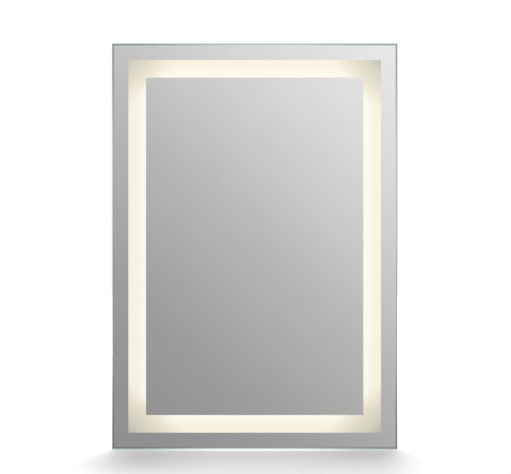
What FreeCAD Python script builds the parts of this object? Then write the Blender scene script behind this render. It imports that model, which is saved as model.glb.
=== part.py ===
"""Lighted bathroom mirror, built as an assembly of separate pieces.

A silvered glass pane with a frosted, lit band stands off the wall on a mitred
aluminium frame. The frame's steel back carries the lighting driver, a wiring
compartment with a hinged cover, and the upper half of a two-piece wall cleat.

Frame: +X is right seen from the front, +Z is up and the front faces -Y. The
origin is the centre of the wall rail's screw row, on the wall plane y = 0.
All lengths are in millimetres and all angles in degrees.
"""
import FreeCAD
import Part
import math
import os
from FreeCAD import Placement, Rotation, Vector

# ---------------------------------------------------------------- glass pane
GLASS_W = 708.0           # width of the pane
GLASS_H = 1006.5          # height of the pane
GLASS_T = 6.0             # thickness of the pane
ARRIS = 1.5               # polished arris round both faces
COAT_INSET = 3.5          # the silver stops this far inside the glass edge
BORDER_W = 40.2           # mirror border outside the lit band
BAND_W = 43.8             # width of the frosted, lit band
COAT_T = 0.15             # silver and its protective backing

# ------------------------------------------------- depth, from the wall out
WALL_GAP = 10.0           # wall to the back panel, room for the cleat
FRAME_DEPTH = 27.25       # depth of the aluminium frame
TAPE_T = 1.1              # foam bonding tape
RAIL_DROP = 170.0         # top of the glass down to the wall screws

CUT_PAST = 1.0            # how far a mitre cut passes the bar that it cuts

# ------------------------------------------------------------ aluminium frame
FRAME_INSET = 22.0        # frame wall inside the glass edge
FRAME_WALL = 1.5          # wall of the extrusion
BOND_FLANGE_W = 16.0      # front flange that takes the tape
PANEL_SEAT_W = 18.0       # rear flange that takes the back panel
FRAME_SOFT_EDGE = 0.8     # rounding of the outer rear edge
KEY_SLOT = 4.0            # depth of the corner key groove
KEY_RIB_W = 12.0          # width of the rib that closes the groove
KEY_LIP_W = 1.0           # thickness of the lip on the rib
KEY_LIP_H = 1.5           # height of the lip on the rib

# -------------------------------------------------------------- corner keys
KEY_T = 3.8
KEY_W = 9.0
KEY_LEG = 36.0
KEY_CLEAR = 0.2           # key to the frame's outer wall
KEY_SCREW_STEP = 24.0     # key's outer corner to its screws
KEY_SCREW_R = 1.5
KEY_SCREW_BITE = 2.8      # screw length inside the key
KEY_HEAD_R = 2.6
KEY_HEAD_T = 1.8
HOLE_EASE = 0.05          # hole radius over the radius of what fills it

# --------------------------------------------------------------- back panel
PANEL_T = 1.0
PANEL_CLEAR = 0.8         # panel edge to the frame wall
PANEL_CORNER_R = 3.0
PANEL_SCREW_INSET = 9.0   # frame's outer face to the screw line
SCREW_COUNT_LEVEL = 3     # panel screws along the top and along the bottom
SCREW_COUNT_UPRIGHT = 5   # panel screws down each side
PANEL_SCREW_END = 70.0    # glass corner to the first screw
PANEL_SCREW_R = 1.5
PANEL_SCREW_L = 6.0
PANEL_HEAD_R = 3.4
PANEL_HEAD_T = 1.9
DRIVE_R = 1.6             # hexagon recess in the screw heads
DRIVE_DEPTH = 1.0
VENT_SLOTS = 6            # slots in each vent group
VENT_PITCH = 9.0
VENT_W = 3.2
VENT_L = 34.0
VENT_X = 165.0            # vent groups either side of the middle
LOW_VENT_RISE = 150.0     # bottom of the glass to the lower vent groups
BEAD_COUNT = 3            # pressed stiffening beads
BEAD_PITCH = 120.0
BEAD_L = 400.0
BEAD_W = 16.0
BEAD_H = 1.5
BEAD_BELOW_DRIVER = 120.0

# ------------------------------------------------- lighting inside the frame
CARRIER_SETBACK = 4.0     # carrier web behind the band's inner edge
CARRIER_T = 1.2
CARRIER_FLANGE_W = 13.0
RIVET_COUNT_LEVEL = 3     # rivets along a level light carrier
RIVET_COUNT_UPRIGHT = 4   # rivets down an upright light carrier
CARRIER_RIVET_END = 150.0
BOARD_T = 1.6
BOARD_W = 12.0
BOARD_END = 118.0         # glass corner to the end of each light board
CHIP_END = 130.0          # glass corner to the first light chip
CHIP_PITCH = 16.6
CHIP_L = 3.5
CHIP_W = 2.8
CHIP_T = 0.7
LINER_T = 0.5             # white reflector sheet
LINER_FLAT_START = 50.0   # glass edge to the liner's bend
LINER_TIP_INSET = 1.0     # liner tip inside the edge of the bonding flange
LINER_CLEAR = 1.0         # liner to the light board
PLUG_L = 8.0              # board connectors
PLUG_W = 10.0
PLUG_H = 7.0
PLUG_STEP = 1.0           # board end to the connector
PLUG_WIRE_H = 5.0         # board face to the jumper wires

# ---------------------------------------------------------------- wall cleat
RAIL_L = 480.0
CLEAT_T = 2.0
WALL_PLATE_DROP = 14.0    # screw row to the wall plate's lower edge
WALL_PLATE_RISE = 16.0    # screw row to the top of the wall rail's web
WALL_LIP_H = 14.0
HANGER_LIP_H = 12.0
HANGER_PLATE_H = 26.0
SLIDE_GAP = 0.2           # between the sliding faces of the cleat
RAIL_CORNER_R = 4.0
WALL_HOLE_R = 3.25
WALL_HOLE_OUTER = 406.4   # spacing of the outer pair, a stud spacing
WALL_HOLE_INNER = 203.2   # spacing of the inner pair
HANGER_RIVETS = 4
HANGER_RIVET_PITCH = 120.0
HANGER_RIVET_RISE = 15.0  # above the hanger's web

# ------------------------------------------------------------------- rivets
RIVET_R = 1.6
RIVET_HEAD_R = 3.0
RIVET_HEAD_T = 1.2
RIVET_TAIL_R = 2.3
RIVET_TAIL_L = 2.0

# ------------------------------------------------------------- wall bumpers
BUMPER_R = 11.0
BUMPER_TIP_R = 9.0
BUMPER_INSET = 69.0       # side of the glass to the bumpers
BUMPER_RISE = 62.0        # bottom of the glass to the bumpers

# ------------------------------------------------------ wiring compartment
BOX_DROP = 125.0          # wall screws down to the middle of the box
BOX_W = 120.0
BOX_H = 90.0
BOX_D = 24.0
BOX_T = 1.0
BOX_FLANGE = 9.0
BOX_RIVET_PITCH = 30.0
BOX_RIVETS = 3            # rivets down each side flange
ACCESS_W = 96.0           # hole in the back panel
ACCESS_H = 70.0
ACCESS_R = 4.0
EARTH_SCREW_INSET = 12.0  # box side to the bonding screw
EARTH_SCREW_DROP = 16.0   # box top to the bonding screw
EARTH_SCREW_R = 2.0
EARTH_HEAD_R = 3.6
EARTH_HEAD_T = 2.2
EARTH_SCREW_L = 4.0
LUG_R = 3.8
LUG_T = 0.8
LUG_BARREL_R = 1.8
LUG_BARREL_L = 6.0

# ------------------------------------------------------- lever terminals
TERMINAL_PITCH = 28.0
TERMINAL_DROP = 26.0      # box top to the terminals' top
TERMINAL_W = 12.0
TERMINAL_H = 20.0
TERMINAL_D = 12.0
TERMINAL_SOFT_EDGE = 0.6
PORT_R = 2.0
PORT_DEPTH = 9.0
PORT_LEVEL = 5.0          # port centres above the box floor
LEAD_SEAT = 3.0           # length of lead inside its port
LEVER_W = 8.0
LEVER_T = 2.0
LEVER_L = 12.0
LEVER_BARREL_R = 1.6
LEVER_SIDE_GAP = 0.3
LEVER_FLOOR_GAP = 0.3
LEVER_AXIS_DROP = 3.5     # terminal top to the lever's axis
LEVER_AXIS_DEPTH = 1.6    # terminal face to the lever's axis
TRUNNION_R = 1.0
TRUNNION_L = 1.3
TRUNNION_EASE = 0.06
LEVER_GRIP_H = 0.5
LEVER_GRIP_L = 2.4

# -------------------------------------------------------------- hinged cover
COVER_T = 1.0
COVER_W = 112.0
COVER_LAP = 10.0          # cover past the lower edge of the access hole
COVER_GAP = 0.3           # cover to the back panel
COVER_CORNER_R = 5.0
HINGE_RISE = 14.0         # access hole's upper edge to the hinge axis
HINGE_STAND = 2.8         # panel face to the hinge axis
HINGE_L = 80.0
KNUCKLES = 5
KNUCKLE_R = 2.4
KNUCKLE_GAP = 0.3
KNUCKLE_RELIEF = 0.4      # leaf cut back round the other leaf's knuckles
PIN_R = 1.2
PIN_EASE = 0.05
PIN_HEAD_R = 2.0
PIN_HEAD_T = 1.2
LEAF_H = 14.0
LEAF_T = 1.0
LEAF_RIVET_PITCH = 52.0
LEAF_RIVET_RISE = 9.0
COVER_SCREW_R = 2.0
COVER_SCREW_EASE = 0.35
COVER_SCREW_L = 4.2       # below the cover
COVER_HEAD_R = 4.2
COVER_HEAD_T = 2.2
COVER_SCREW_RISE = 5.0    # cover's lower edge to its screw
COVER_SCREW_X = 44.0
ENTRY_RISE = 26.0         # box bottom to the supply entry
KNOCKOUT_R = 11.1         # hole for the bushing
BUSHING_BORE_R = 8.0
BUSHING_EASE = 0.1
BUSHING_FLANGE_R = 14.0
BUSHING_FLANGE_T = 1.8
BUSHING_REACH = 3.8       # barrel past the cover's inner face
BUSHING_LIP_R = 11.7
BUSHING_LIP_T = 1.0

# ------------------------------------------------------------------ driver
DRIVER_DROP = 260.0       # wall screws down to the middle of the driver
DRIVER_L = 180.0
DRIVER_W = 50.0
DRIVER_H = 20.0
DRIVER_WALL = 1.5
DRIVER_EAR_L = 11.0
DRIVER_EAR_H = 13.0
DRIVER_EAR_T = 3.0
DRIVER_SCREW_R = 1.5
DRIVER_HOLE_R = 3.0       # wire hole in each end
DRIVER_SOFT_EDGE = 2.0
DRIVER_POST_R = 3.0
DRIVER_POST_H = 2.5
CIRCUIT_T = 1.6
CIRCUIT_CLEAR = 4.0       # circuit board to the case walls
CIRCUIT_PLUG_L = 9.0
CIRCUIT_PLUG_W = 12.0
CIRCUIT_PLUG_H = 8.4
CORE_L, CORE_W, CORE_H = 28.0, 24.0, 10.5     # transformer
CORE_X = -12.0
CAP_R, CAP_L = 5.0, 16.0                      # capacitors
CAP_X, CAP_PITCH = 40.0, 13.0
CHOKE_R, CHOKE_H = 7.0, 9.0                   # input choke
CHOKE_X = 62.0

# --------------------------------------------------------------- wiring
WIRE_LEVEL = 11.0         # wire runs in front of the back panel
LEAD_R = 1.2              # mains leads
LEAD_PAIR = 2.8           # spacing of the live and neutral leads
LEAD_OUT = 61.0           # box side to the leads' downward run
LEAD_DROP = 12.0          # box top to the leads' way out
LEAD_BOX_STEP = 22.0      # terminal to the point where its mains lead levels out
LED_LEAD_R = 0.9
LED_PAIR = 3.0
LED_RUN_CLEAR = 28.0      # left light carrier to the upward run
FEED_STEP = 5.0           # board end to the feed wires
JUMPER_R = 0.8
JUMPER_PAIR = 4.0
EARTH_LEAD_STEP = 6.0     # earth terminal to the point where its lead levels out
ARC_SHARE = 0.45          # of the shorter run, used up by each bend
GROMMET_BORE_R = 3.3
GROMMET_R = 4.9
GROMMET_FLANGE_R = 6.4
GROMMET_FLANGE_T = 1.2
FEED_HOLE_R = 3.0
CLIP_W = 9.0
CLIP_BORE_R = 3.0
CLIP_WALL = 2.5
CLIP_SLOT = 2.4           # mouth of each clip

# ------------------------------------------------------- derived positions
Z_TOP = RAIL_DROP
Z_BOT = Z_TOP - GLASS_H
Z_MID = (Z_TOP + Z_BOT) / 2.0
HALF_W = GLASS_W / 2.0
HALF_H = GLASS_H / 2.0
Y_PANEL_REAR = -WALL_GAP
Y_PANEL_FRONT = Y_PANEL_REAR - PANEL_T
Y_FRAME_FRONT = Y_PANEL_REAR - FRAME_DEPTH
Y_COAT_REAR = Y_FRAME_FRONT - TAPE_T
Y_GLASS_REAR = Y_COAT_REAR - COAT_T
Y_GLASS_FRONT = Y_GLASS_REAR - GLASS_T
Y_WIRE = Y_PANEL_FRONT - WIRE_LEVEL
BAND_INNER = BORDER_W + BAND_W
CARRIER_INSET = BAND_INNER + CARRIER_SETBACK
CARRIER_RIVET_INSET = CARRIER_INSET + CARRIER_T + (CARRIER_FLANGE_W - CARRIER_T) / 2.0
BOARD_FACE = CARRIER_INSET - BOARD_T
Y_KEY_RIB = Y_FRAME_FRONT + FRAME_WALL + KEY_SLOT
KEY_EDGE = FRAME_INSET + FRAME_WALL + KEY_CLEAR
Z_BOX = -BOX_DROP
Y_BOX_FLOOR = Y_PANEL_FRONT - BOX_D + BOX_T
Z_DRIVER = -DRIVER_DROP
Z_BOX_TOP = Z_BOX + BOX_H / 2.0
Z_TERMINAL = Z_BOX_TOP - TERMINAL_DROP
Y_TERMINAL = Y_BOX_FLOOR + TERMINAL_D
Y_LEVER = Y_TERMINAL - LEVER_AXIS_DEPTH
Z_LEVER = Z_TERMINAL - LEVER_AXIS_DROP
Z_HINGE = Z_BOX + ACCESS_H / 2.0 + HINGE_RISE
Y_HINGE = Y_PANEL_REAR + HINGE_STAND
Z_COVER_BOT = Z_BOX - ACCESS_H / 2.0 - COVER_LAP
Y_COVER_IN = Y_PANEL_REAR + COVER_GAP
Y_COVER_OUT = Y_COVER_IN + COVER_T
Z_ENTRY = Z_BOX - BOX_H / 2.0 + ENTRY_RISE
X_EARTH = -BOX_W / 2.0 + EARTH_SCREW_INSET
Z_EARTH = Z_BOX_TOP - EARTH_SCREW_DROP
Z_LEAD_OUT = Z_BOX_TOP - LEAD_DROP
X_LED_RUN = -HALF_W + CARRIER_INSET + CARRIER_FLANGE_W + LED_RUN_CLEAR
Z_FEED = Z_TOP - BOARD_END - FEED_STEP

# Each side of the pane: its length, and the placement that takes a piece drawn
# along X, with its distance from the glass edge along +Z, onto that side.
SIDES = {
    "bottom": (GLASS_W, Placement(Vector(0, 0, Z_BOT), Rotation(Vector(0, 1, 0), 0))),
    "top": (GLASS_W, Placement(Vector(0, 0, Z_TOP), Rotation(Vector(0, 1, 0), 180))),
    "left": (GLASS_H, Placement(Vector(-HALF_W, 0, Z_MID), Rotation(Vector(0, 1, 0), 90))),
    "right": (GLASS_H, Placement(Vector(HALF_W, 0, Z_MID), Rotation(Vector(0, 1, 0), -90))),
}
CORNERS = [(sx, sz) for sx in (-1, 1) for sz in (-1, 1)]
JUMPED_CORNERS = [(-1, -1), (1, -1), (1, 1)]   # the lights are one chain, fed top left


# ------------------------------------------------------------ basic solids
def slab(x0, x1, y0, y1, z0, z1):
    """Box between two opposite corners, given in any order."""
    low = Vector(min(x0, x1), min(y0, y1), min(z0, z1))
    return Part.makeBox(abs(x1 - x0), abs(y1 - y0), abs(z1 - z0), low)


def rod(start, end, radius):
    """Cylinder between two points."""
    axis = end - start
    return Part.makeCylinder(radius, axis.Length, start, axis)


def rod_y(x, z, radius, y0, y1):
    """Cylinder along Y at (x, z)."""
    return rod(Vector(x, min(y0, y1), z), Vector(x, max(y0, y1), z), radius)


def cone_y(x, z, r0, r1, y0, y1):
    """Cone frustum along Y, r0 at y0 and r1 at y1, with y0 below y1."""
    return Part.makeCone(r0, r1, y1 - y0, Vector(x, y0, z), Vector(0, 1, 0))


def hexagon_y(x, z, radius, y0, y1):
    """Six-sided recess cutter along Y."""
    turn = [math.radians(60 * k) for k in range(7)]
    ring = [Vector(x + radius * math.cos(a), y0, z + radius * math.sin(a)) for a in turn]
    return Part.Face(Part.makePolygon(ring)).extrude(Vector(0, y1 - y0, 0))


def fused(pieces):
    """One solid from pieces that touch or overlap."""
    whole = pieces[0].multiFuse(pieces[1:]) if len(pieces) > 1 else pieces[0]
    return whole.removeSplitter()


def drilled(body, cutters):
    """Body with all the cutters taken out."""
    return body.cut(Part.makeCompound(cutters)) if cutters else body


def rounded_plate(x0, x1, y0, y1, z0, z1, radius):
    """Box whose four edges along Y are rounded."""
    plate = slab(x0, x1, y0, y1, z0, z1)
    edges = [e for e in plate.Edges if abs(e.tangentAt(e.FirstParameter).y) > 0.5]
    return plate.makeFillet(radius, edges)


def slot_y(x, z, length, width, y0, y1):
    """Upright round-ended slot cutter along Y."""
    reach = (length - width) / 2.0
    return fused([slab(x - width / 2, x + width / 2, y0, y1, z - reach, z + reach),
                  rod_y(x, z - reach, width / 2, y0, y1),
                  rod_y(x, z + reach, width / 2, y0, y1)])


def row(count, span):
    """Evenly spaced positions about zero, the first and last span apart."""
    return [span * (k / (count - 1.0) - 0.5) for k in range(count)]


def pitched(count, pitch):
    """Positions about zero, pitch apart."""
    return [pitch * (k - (count - 1) / 2.0) for k in range(count)]


# ------------------------------------------------------ pieces along a side
def on_side(shape, side):
    """Shape drawn along X for one side, moved onto that side."""
    placed = shape.copy()
    placed.Placement = SIDES[side][1].multiply(placed.Placement)
    return placed


def mitred(section, side):
    """Bar of a closed (inset, y) outline along a whole side, cut at 45 degrees."""
    length = SIDES[side][0]
    ring = [Vector(-length / 2, y, i) for i, y in section]
    bar = Part.Face(Part.makePolygon(ring + ring[:1])).extrude(Vector(length, 0, 0))
    deep = max(i for i, _ in section) + CUT_PAST
    y0 = min(y for _, y in section) - CUT_PAST
    y1 = max(y for _, y in section) + CUT_PAST
    foot = [(-length / 2, 0), (length / 2, 0), (length / 2 - deep, deep), (-length / 2 + deep, deep)]
    wedge = [Vector(u, y0, i) for u, i in foot]
    mitre = Part.Face(Part.makePolygon(wedge + wedge[:1])).extrude(Vector(0, y1 - y0, 0))
    return on_side(bar.common(mitre), side)


def side_points(side, stations, inset):
    """(x, z) of stations along a side at a distance from the glass edge."""
    spots = [SIDES[side][1].multVec(Vector(u, 0, inset)) for u in stations]
    return [(p.x, p.z) for p in spots]


def ring_plate(outer, inner, y0, y1):
    """Rectangular ring between two insets from the glass edge."""
    plate = slab(-HALF_W + outer, HALF_W - outer, y0, y1, Z_BOT + outer, Z_TOP - outer)
    hole = slab(-HALF_W + inner, HALF_W - inner, y0, y1, Z_BOT + inner, Z_TOP - inner)
    return plate.cut(hole)


def corner_slab(sx, sz, i0, i1, j0, j1, y0, y1):
    """Box near a corner, from its insets off the side edge and the end edge."""
    return slab(sx * (HALF_W - i0), sx * (HALF_W - i1), y0, y1,
                Z_MID + sz * (HALF_H - j0), Z_MID + sz * (HALF_H - j1))


# --------------------------------------------------------------- fasteners
def rivet(x, z, y_head, y_tail):
    """Blind rivet through sheets between y_head (rear) and y_tail (inside)."""
    head = cone_y(x, z, RIVET_HEAD_R, RIVET_R, y_head, y_head + RIVET_HEAD_T)
    shank = rod_y(x, z, RIVET_R, y_tail, y_head)
    tail = rod_y(x, z, RIVET_TAIL_R, y_tail - RIVET_TAIL_L, y_tail)
    return fused([head, shank, tail])


def pan_screw(x, z, radius, length, head_r, head_t, y_seat):
    """Screw driven towards -Y, its head seated on y_seat, with a hex recess."""
    shank = rod_y(x, z, radius, y_seat - length, y_seat)
    head = rod_y(x, z, head_r, y_seat, y_seat + head_t)
    top = [e for e in head.Edges if abs(e.BoundBox.YMin - y_seat - head_t) < 1e-6
           and e.BoundBox.YLength < 1e-6]
    head = head.makeFillet(head_t / 3, top)
    recess = hexagon_y(x, z, DRIVE_R, y_seat + head_t - DRIVE_DEPTH, y_seat + head_t)
    return fused([shank, head]).cut(recess)


def panel_screw_spots():
    """(x, z) of every back panel screw."""
    inset = FRAME_INSET + PANEL_SCREW_INSET
    spots = []
    for side, (length, _) in SIDES.items():
        count = SCREW_COUNT_LEVEL if side in ("top", "bottom") else SCREW_COUNT_UPRIGHT
        spots += side_points(side, row(count, length - 2 * PANEL_SCREW_END), inset)
    return spots


def carrier_rivet_spots(side):
    """(x, z) of the rivets that hold one light carrier."""
    count = RIVET_COUNT_LEVEL if side in ("top", "bottom") else RIVET_COUNT_UPRIGHT
    span = SIDES[side][0] - 2 * CARRIER_RIVET_END
    return side_points(side, row(count, span), CARRIER_RIVET_INSET)


def box_rivet_spots():
    """(x, z) of the wiring box rivets, down both side flanges."""
    x = BOX_W / 2 + BOX_FLANGE / 2
    return [(sx * x, Z_BOX + dz) for sx in (-1, 1) for dz in pitched(BOX_RIVETS, BOX_RIVET_PITCH)]


def leaf_rivet_spots():
    """(x, z) of the rivets through the fixed hinge leaf."""
    return [(x, Z_HINGE + LEAF_RIVET_RISE) for x in pitched(2, LEAF_RIVET_PITCH)]


def hanger_rivet_spots():
    """(x, z) of the rivets through the hanger rail."""
    z = WALL_PLATE_RISE + WALL_LIP_H + HANGER_RIVET_RISE
    return [(x, z) for x in pitched(HANGER_RIVETS, HANGER_RIVET_PITCH)]


def driver_screw_spots():
    """(x, z) of the two screws through the driver's ears."""
    x = DRIVER_L / 2 + DRIVER_EAR_L / 2
    z = Z_DRIVER - DRIVER_W / 2 + DRIVER_EAR_H / 2
    return [(-x, z), (x, z)]


# ----------------------------------------------------------------- wires
def bent_path(points):
    """Straight runs joined by the largest tangent arcs that the runs allow.

    Returns the wire and its length.
    """
    edges, here, length = [], points[0], 0.0
    for before, corner, after in zip(points, points[1:], points[2:]):
        back, ahead = before - corner, after - corner
        turn = math.pi - back.getAngle(ahead)
        cut = ARC_SHARE * min(back.Length, ahead.Length)
        radius = cut / math.tan(turn / 2)
        back.normalize()
        ahead.normalize()
        start, end = corner + back * cut, corner + ahead * cut
        middle = back + ahead
        middle.normalize()
        reach = radius / math.cos(turn / 2) - radius
        edges.append(Part.LineSegment(here, start).toShape())
        edges.append(Part.Arc(start, corner + middle * reach, end).toShape())
        length += (start - here).Length + radius * turn
        here = end
    edges.append(Part.LineSegment(here, points[-1]).toShape())
    return Part.Wire(edges), length + (points[-1] - here).Length


def wire_tube(points, radius):
    """Round wire along bent runs."""
    path, length = bent_path(points)
    across = points[1] - points[0]
    ring = Part.Wire([Part.makeCircle(radius, points[0], across)])
    tube = path.makePipeShell([ring], True, False)
    drift = abs(tube.Volume / (math.pi * radius ** 2 * length) - 1)
    print("wire: length %.1f, volume within %.4f" % (length, drift))
    return tube


# ------------------------------------------------------- glass and coatings
def glass_pane():
    """Pane with a polished arris round both faces."""
    pane = slab(-HALF_W, HALF_W, Y_GLASS_FRONT, Y_GLASS_REAR, Z_BOT, Z_TOP)
    flat = [e for e in pane.Edges if e.BoundBox.YLength < 1e-6]
    return pane.makeChamfer(ARRIS, flat)


def coatings():
    """Silvered border, frosted band and silvered centre on the pane's back."""
    centre = slab(-HALF_W + BAND_INNER, HALF_W - BAND_INNER, Y_GLASS_REAR, Y_COAT_REAR,
                  Z_BOT + BAND_INNER, Z_TOP - BAND_INNER)
    return {
        "silver_border": ring_plate(COAT_INSET, BORDER_W, Y_GLASS_REAR, Y_COAT_REAR),
        "frosted_band": ring_plate(BORDER_W, BAND_INNER, Y_GLASS_REAR, Y_COAT_REAR),
        "silver_centre": centre,
    }


def tape(inset, width):
    """Four strips of foam tape, mitred where they meet."""
    section = [(inset, Y_COAT_REAR), (inset + width, Y_COAT_REAR),
               (inset + width, Y_FRAME_FRONT), (inset, Y_FRAME_FRONT)]
    return Part.makeCompound([mitred(section, side) for side in SIDES])


# ------------------------------------------------------------------- frame
def frame_section():
    """Outline of the frame extrusion, as (inset, y) points."""
    i0, w = FRAME_INSET, FRAME_WALL
    front, rear = Y_FRAME_FRONT, Y_PANEL_REAR
    rib0, rib1 = i0 + KEY_RIB_W - KEY_LIP_W, i0 + KEY_RIB_W
    return [
        (i0, front), (i0 + BOND_FLANGE_W, front), (i0 + BOND_FLANGE_W, front + w),
        (i0 + w, front + w), (i0 + w, Y_KEY_RIB), (rib0, Y_KEY_RIB),
        (rib0, Y_KEY_RIB - KEY_LIP_H), (rib1, Y_KEY_RIB - KEY_LIP_H),
        (rib1, Y_KEY_RIB + w), (i0 + w, Y_KEY_RIB + w),
        (i0 + w, Y_PANEL_FRONT - w), (i0 + PANEL_SEAT_W, Y_PANEL_FRONT - w),
        (i0 + PANEL_SEAT_W, Y_PANEL_FRONT), (i0 + w, Y_PANEL_FRONT),
        (i0 + w, rear), (i0 + FRAME_SOFT_EDGE, rear), (i0, rear - FRAME_SOFT_EDGE),
    ]


def key_screw_spots(sx, sz):
    """(x, z) of the two screws in one corner key."""
    mid = KEY_EDGE + KEY_W / 2
    far = KEY_EDGE + KEY_SCREW_STEP
    return [(sx * (HALF_W - i), Z_MID + sz * (HALF_H - j)) for i, j in ((mid, far), (far, mid))]


def frame_bar(side):
    """One mitred side of the frame, drilled for its screws."""
    y0, y1 = Y_PANEL_FRONT - FRAME_WALL, Y_PANEL_FRONT
    cutters = [rod_y(x, z, PANEL_SCREW_R + HOLE_EASE, y0, y1) for x, z in panel_screw_spots()]
    for sx, sz in CORNERS:
        for x, z in key_screw_spots(sx, sz):
            cutters.append(rod_y(x, z, KEY_SCREW_R + HOLE_EASE, Y_KEY_RIB, Y_KEY_RIB + FRAME_WALL))
    return drilled(mitred(frame_section(), side), cutters)


def corner_key(sx, sz):
    """L-shaped key that joins two frame sides inside their groove."""
    slack = (KEY_SLOT - KEY_T) / 2
    y0 = Y_FRAME_FRONT + FRAME_WALL + slack
    y1 = y0 + KEY_T
    near, wide, far = KEY_EDGE, KEY_EDGE + KEY_W, KEY_EDGE + KEY_LEG
    key = fused([corner_slab(sx, sz, near, far, near, wide, y0, y1),
                 corner_slab(sx, sz, near, wide, near, far, y0, y1)])
    holes = [rod_y(x, z, KEY_SCREW_R + HOLE_EASE, y1 - KEY_SCREW_BITE - HOLE_EASE, y1)
             for x, z in key_screw_spots(sx, sz)]
    return drilled(key, holes)


def key_screws():
    """Screws through the rib into every corner key."""
    seat = Y_KEY_RIB + FRAME_WALL
    slack = (KEY_SLOT - KEY_T) / 2
    length = FRAME_WALL + slack + KEY_SCREW_BITE
    return Part.makeCompound([
        pan_screw(x, z, KEY_SCREW_R, length, KEY_HEAD_R, KEY_HEAD_T, seat)
        for sx, sz in CORNERS for x, z in key_screw_spots(sx, sz)])


# -------------------------------------------------------------- back panel
def bead(z):
    """Pressed bead across the panel: its raised skin and the hollow under it."""
    radius = (BEAD_W ** 2 / 4 + BEAD_H ** 2) / (2 * BEAD_H)
    axis_y = Y_PANEL_REAR + BEAD_H - radius
    reach = BEAD_L / 2 - BEAD_W / 2

    def capsule(r):
        a, b = Vector(-reach, axis_y, z), Vector(reach, axis_y, z)
        return fused([rod(a, b, r), Part.makeSphere(r, a), Part.makeSphere(r, b)])

    window = slab(-BEAD_L, BEAD_L, Y_PANEL_REAR, Y_PANEL_REAR + 2 * BEAD_H, z - BEAD_W, z + BEAD_W)
    behind = slab(-BEAD_L, BEAD_L, Y_PANEL_FRONT, Y_PANEL_REAR + BEAD_H, z - BEAD_W, z + BEAD_W)
    return capsule(radius).common(window), capsule(radius - PANEL_T).common(behind)


def vent_spots():
    """(x, z) of every vent slot."""
    middles = [(sx * VENT_X, z) for sx in (-1, 1) for z in (Z_DRIVER, Z_BOT + LOW_VENT_RISE)]
    return [(x + dx, z) for x, z in middles for dx in pitched(VENT_SLOTS, VENT_PITCH)]


def back_panel():
    """Folded-flat steel back with beads, vents, the access hole and its drilling."""
    edge = FRAME_INSET + FRAME_WALL + PANEL_CLEAR
    y0, y1 = Y_PANEL_FRONT, Y_PANEL_REAR
    sheet = rounded_plate(-HALF_W + edge, HALF_W - edge, y0, y1, Z_BOT + edge, Z_TOP - edge,
                          PANEL_CORNER_R)
    skins, hollows = [], []
    for dz in pitched(BEAD_COUNT, BEAD_PITCH):
        top = Z_DRIVER - BEAD_BELOW_DRIVER - (BEAD_COUNT - 1) * BEAD_PITCH / 2
        skin, hollow = bead(top + dz)
        skins.append(skin)
        hollows.append(hollow)
    holes = [rod_y(x, z, PANEL_SCREW_R + HOLE_EASE, y0, y1) for x, z in panel_screw_spots()]
    riveted = box_rivet_spots() + leaf_rivet_spots() + hanger_rivet_spots()
    for side in SIDES:
        riveted += carrier_rivet_spots(side)
    holes += [rod_y(x, z, RIVET_R + HOLE_EASE, y0, y1) for x, z in riveted]
    holes += [rod_y(x, z, DRIVER_SCREW_R + HOLE_EASE, y0, y1) for x, z in driver_screw_spots()]
    holes += [slot_y(x, z, VENT_L, VENT_W, y0, y1) for x, z in vent_spots()]
    holes.append(rod_y(COVER_SCREW_X, Z_COVER_BOT + COVER_SCREW_RISE,
                       COVER_SCREW_R + COVER_SCREW_EASE, y0, y1))
    holes.append(rounded_plate(-ACCESS_W / 2, ACCESS_W / 2, y0, y1, Z_BOX - ACCESS_H / 2,
                               Z_BOX + ACCESS_H / 2, ACCESS_R))
    return drilled(fused([sheet] + skins), hollows + holes)


def panel_screws():
    """Screws round the back panel."""
    return Part.makeCompound([
        pan_screw(x, z, PANEL_SCREW_R, PANEL_SCREW_L, PANEL_HEAD_R, PANEL_HEAD_T, Y_PANEL_REAR)
        for x, z in panel_screw_spots()])


# ---------------------------------------------------------------- lighting
def carrier(side):
    """C-section carrier behind the band's inner edge, riveted to the panel."""
    i0, i1 = CARRIER_INSET, CARRIER_INSET + CARRIER_FLANGE_W
    front, rear, t = Y_FRAME_FRONT, Y_PANEL_FRONT, CARRIER_T
    section = [(i0, front), (i1, front), (i1, front + t), (i0 + t, front + t),
               (i0 + t, rear - t), (i1, rear - t), (i1, rear), (i0, rear)]
    cutters = [rod_y(x, z, RIVET_R + HOLE_EASE, rear - t, rear)
               for x, z in carrier_rivet_spots(side)]
    if side == "left":
        x = -HALF_W + CARRIER_INSET
        cutters.append(rod(Vector(x, Y_WIRE, Z_FEED), Vector(x + t, Y_WIRE, Z_FEED),
                           GROMMET_R - GROMMET_FLANGE_T + HOLE_EASE))
    return drilled(mitred(section, side), cutters)


def light_board(side):
    """Light board on the outer face of its carrier."""
    reach = SIDES[side][0] / 2 - BOARD_END
    board = on_side(slab(-reach, reach, Y_WIRE - BOARD_W / 2, Y_WIRE + BOARD_W / 2,
                         BOARD_FACE, CARRIER_INSET), side)
    if side == "left":
        x = -HALF_W + BOARD_FACE
        board = board.cut(rod(Vector(x, Y_WIRE, Z_FEED), Vector(x + BOARD_T, Y_WIRE, Z_FEED),
                              FEED_HOLE_R))
    return board


def light_chips(side):
    """Row of light chips on one board."""
    span = SIDES[side][0] - 2 * CHIP_END
    count = int(span // CHIP_PITCH) + 1
    return [on_side(slab(u - CHIP_L / 2, u + CHIP_L / 2, Y_WIRE - CHIP_W / 2, Y_WIRE + CHIP_W / 2,
                         BOARD_FACE - CHIP_T, BOARD_FACE), side)
            for u in pitched(count, CHIP_PITCH)]


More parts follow.
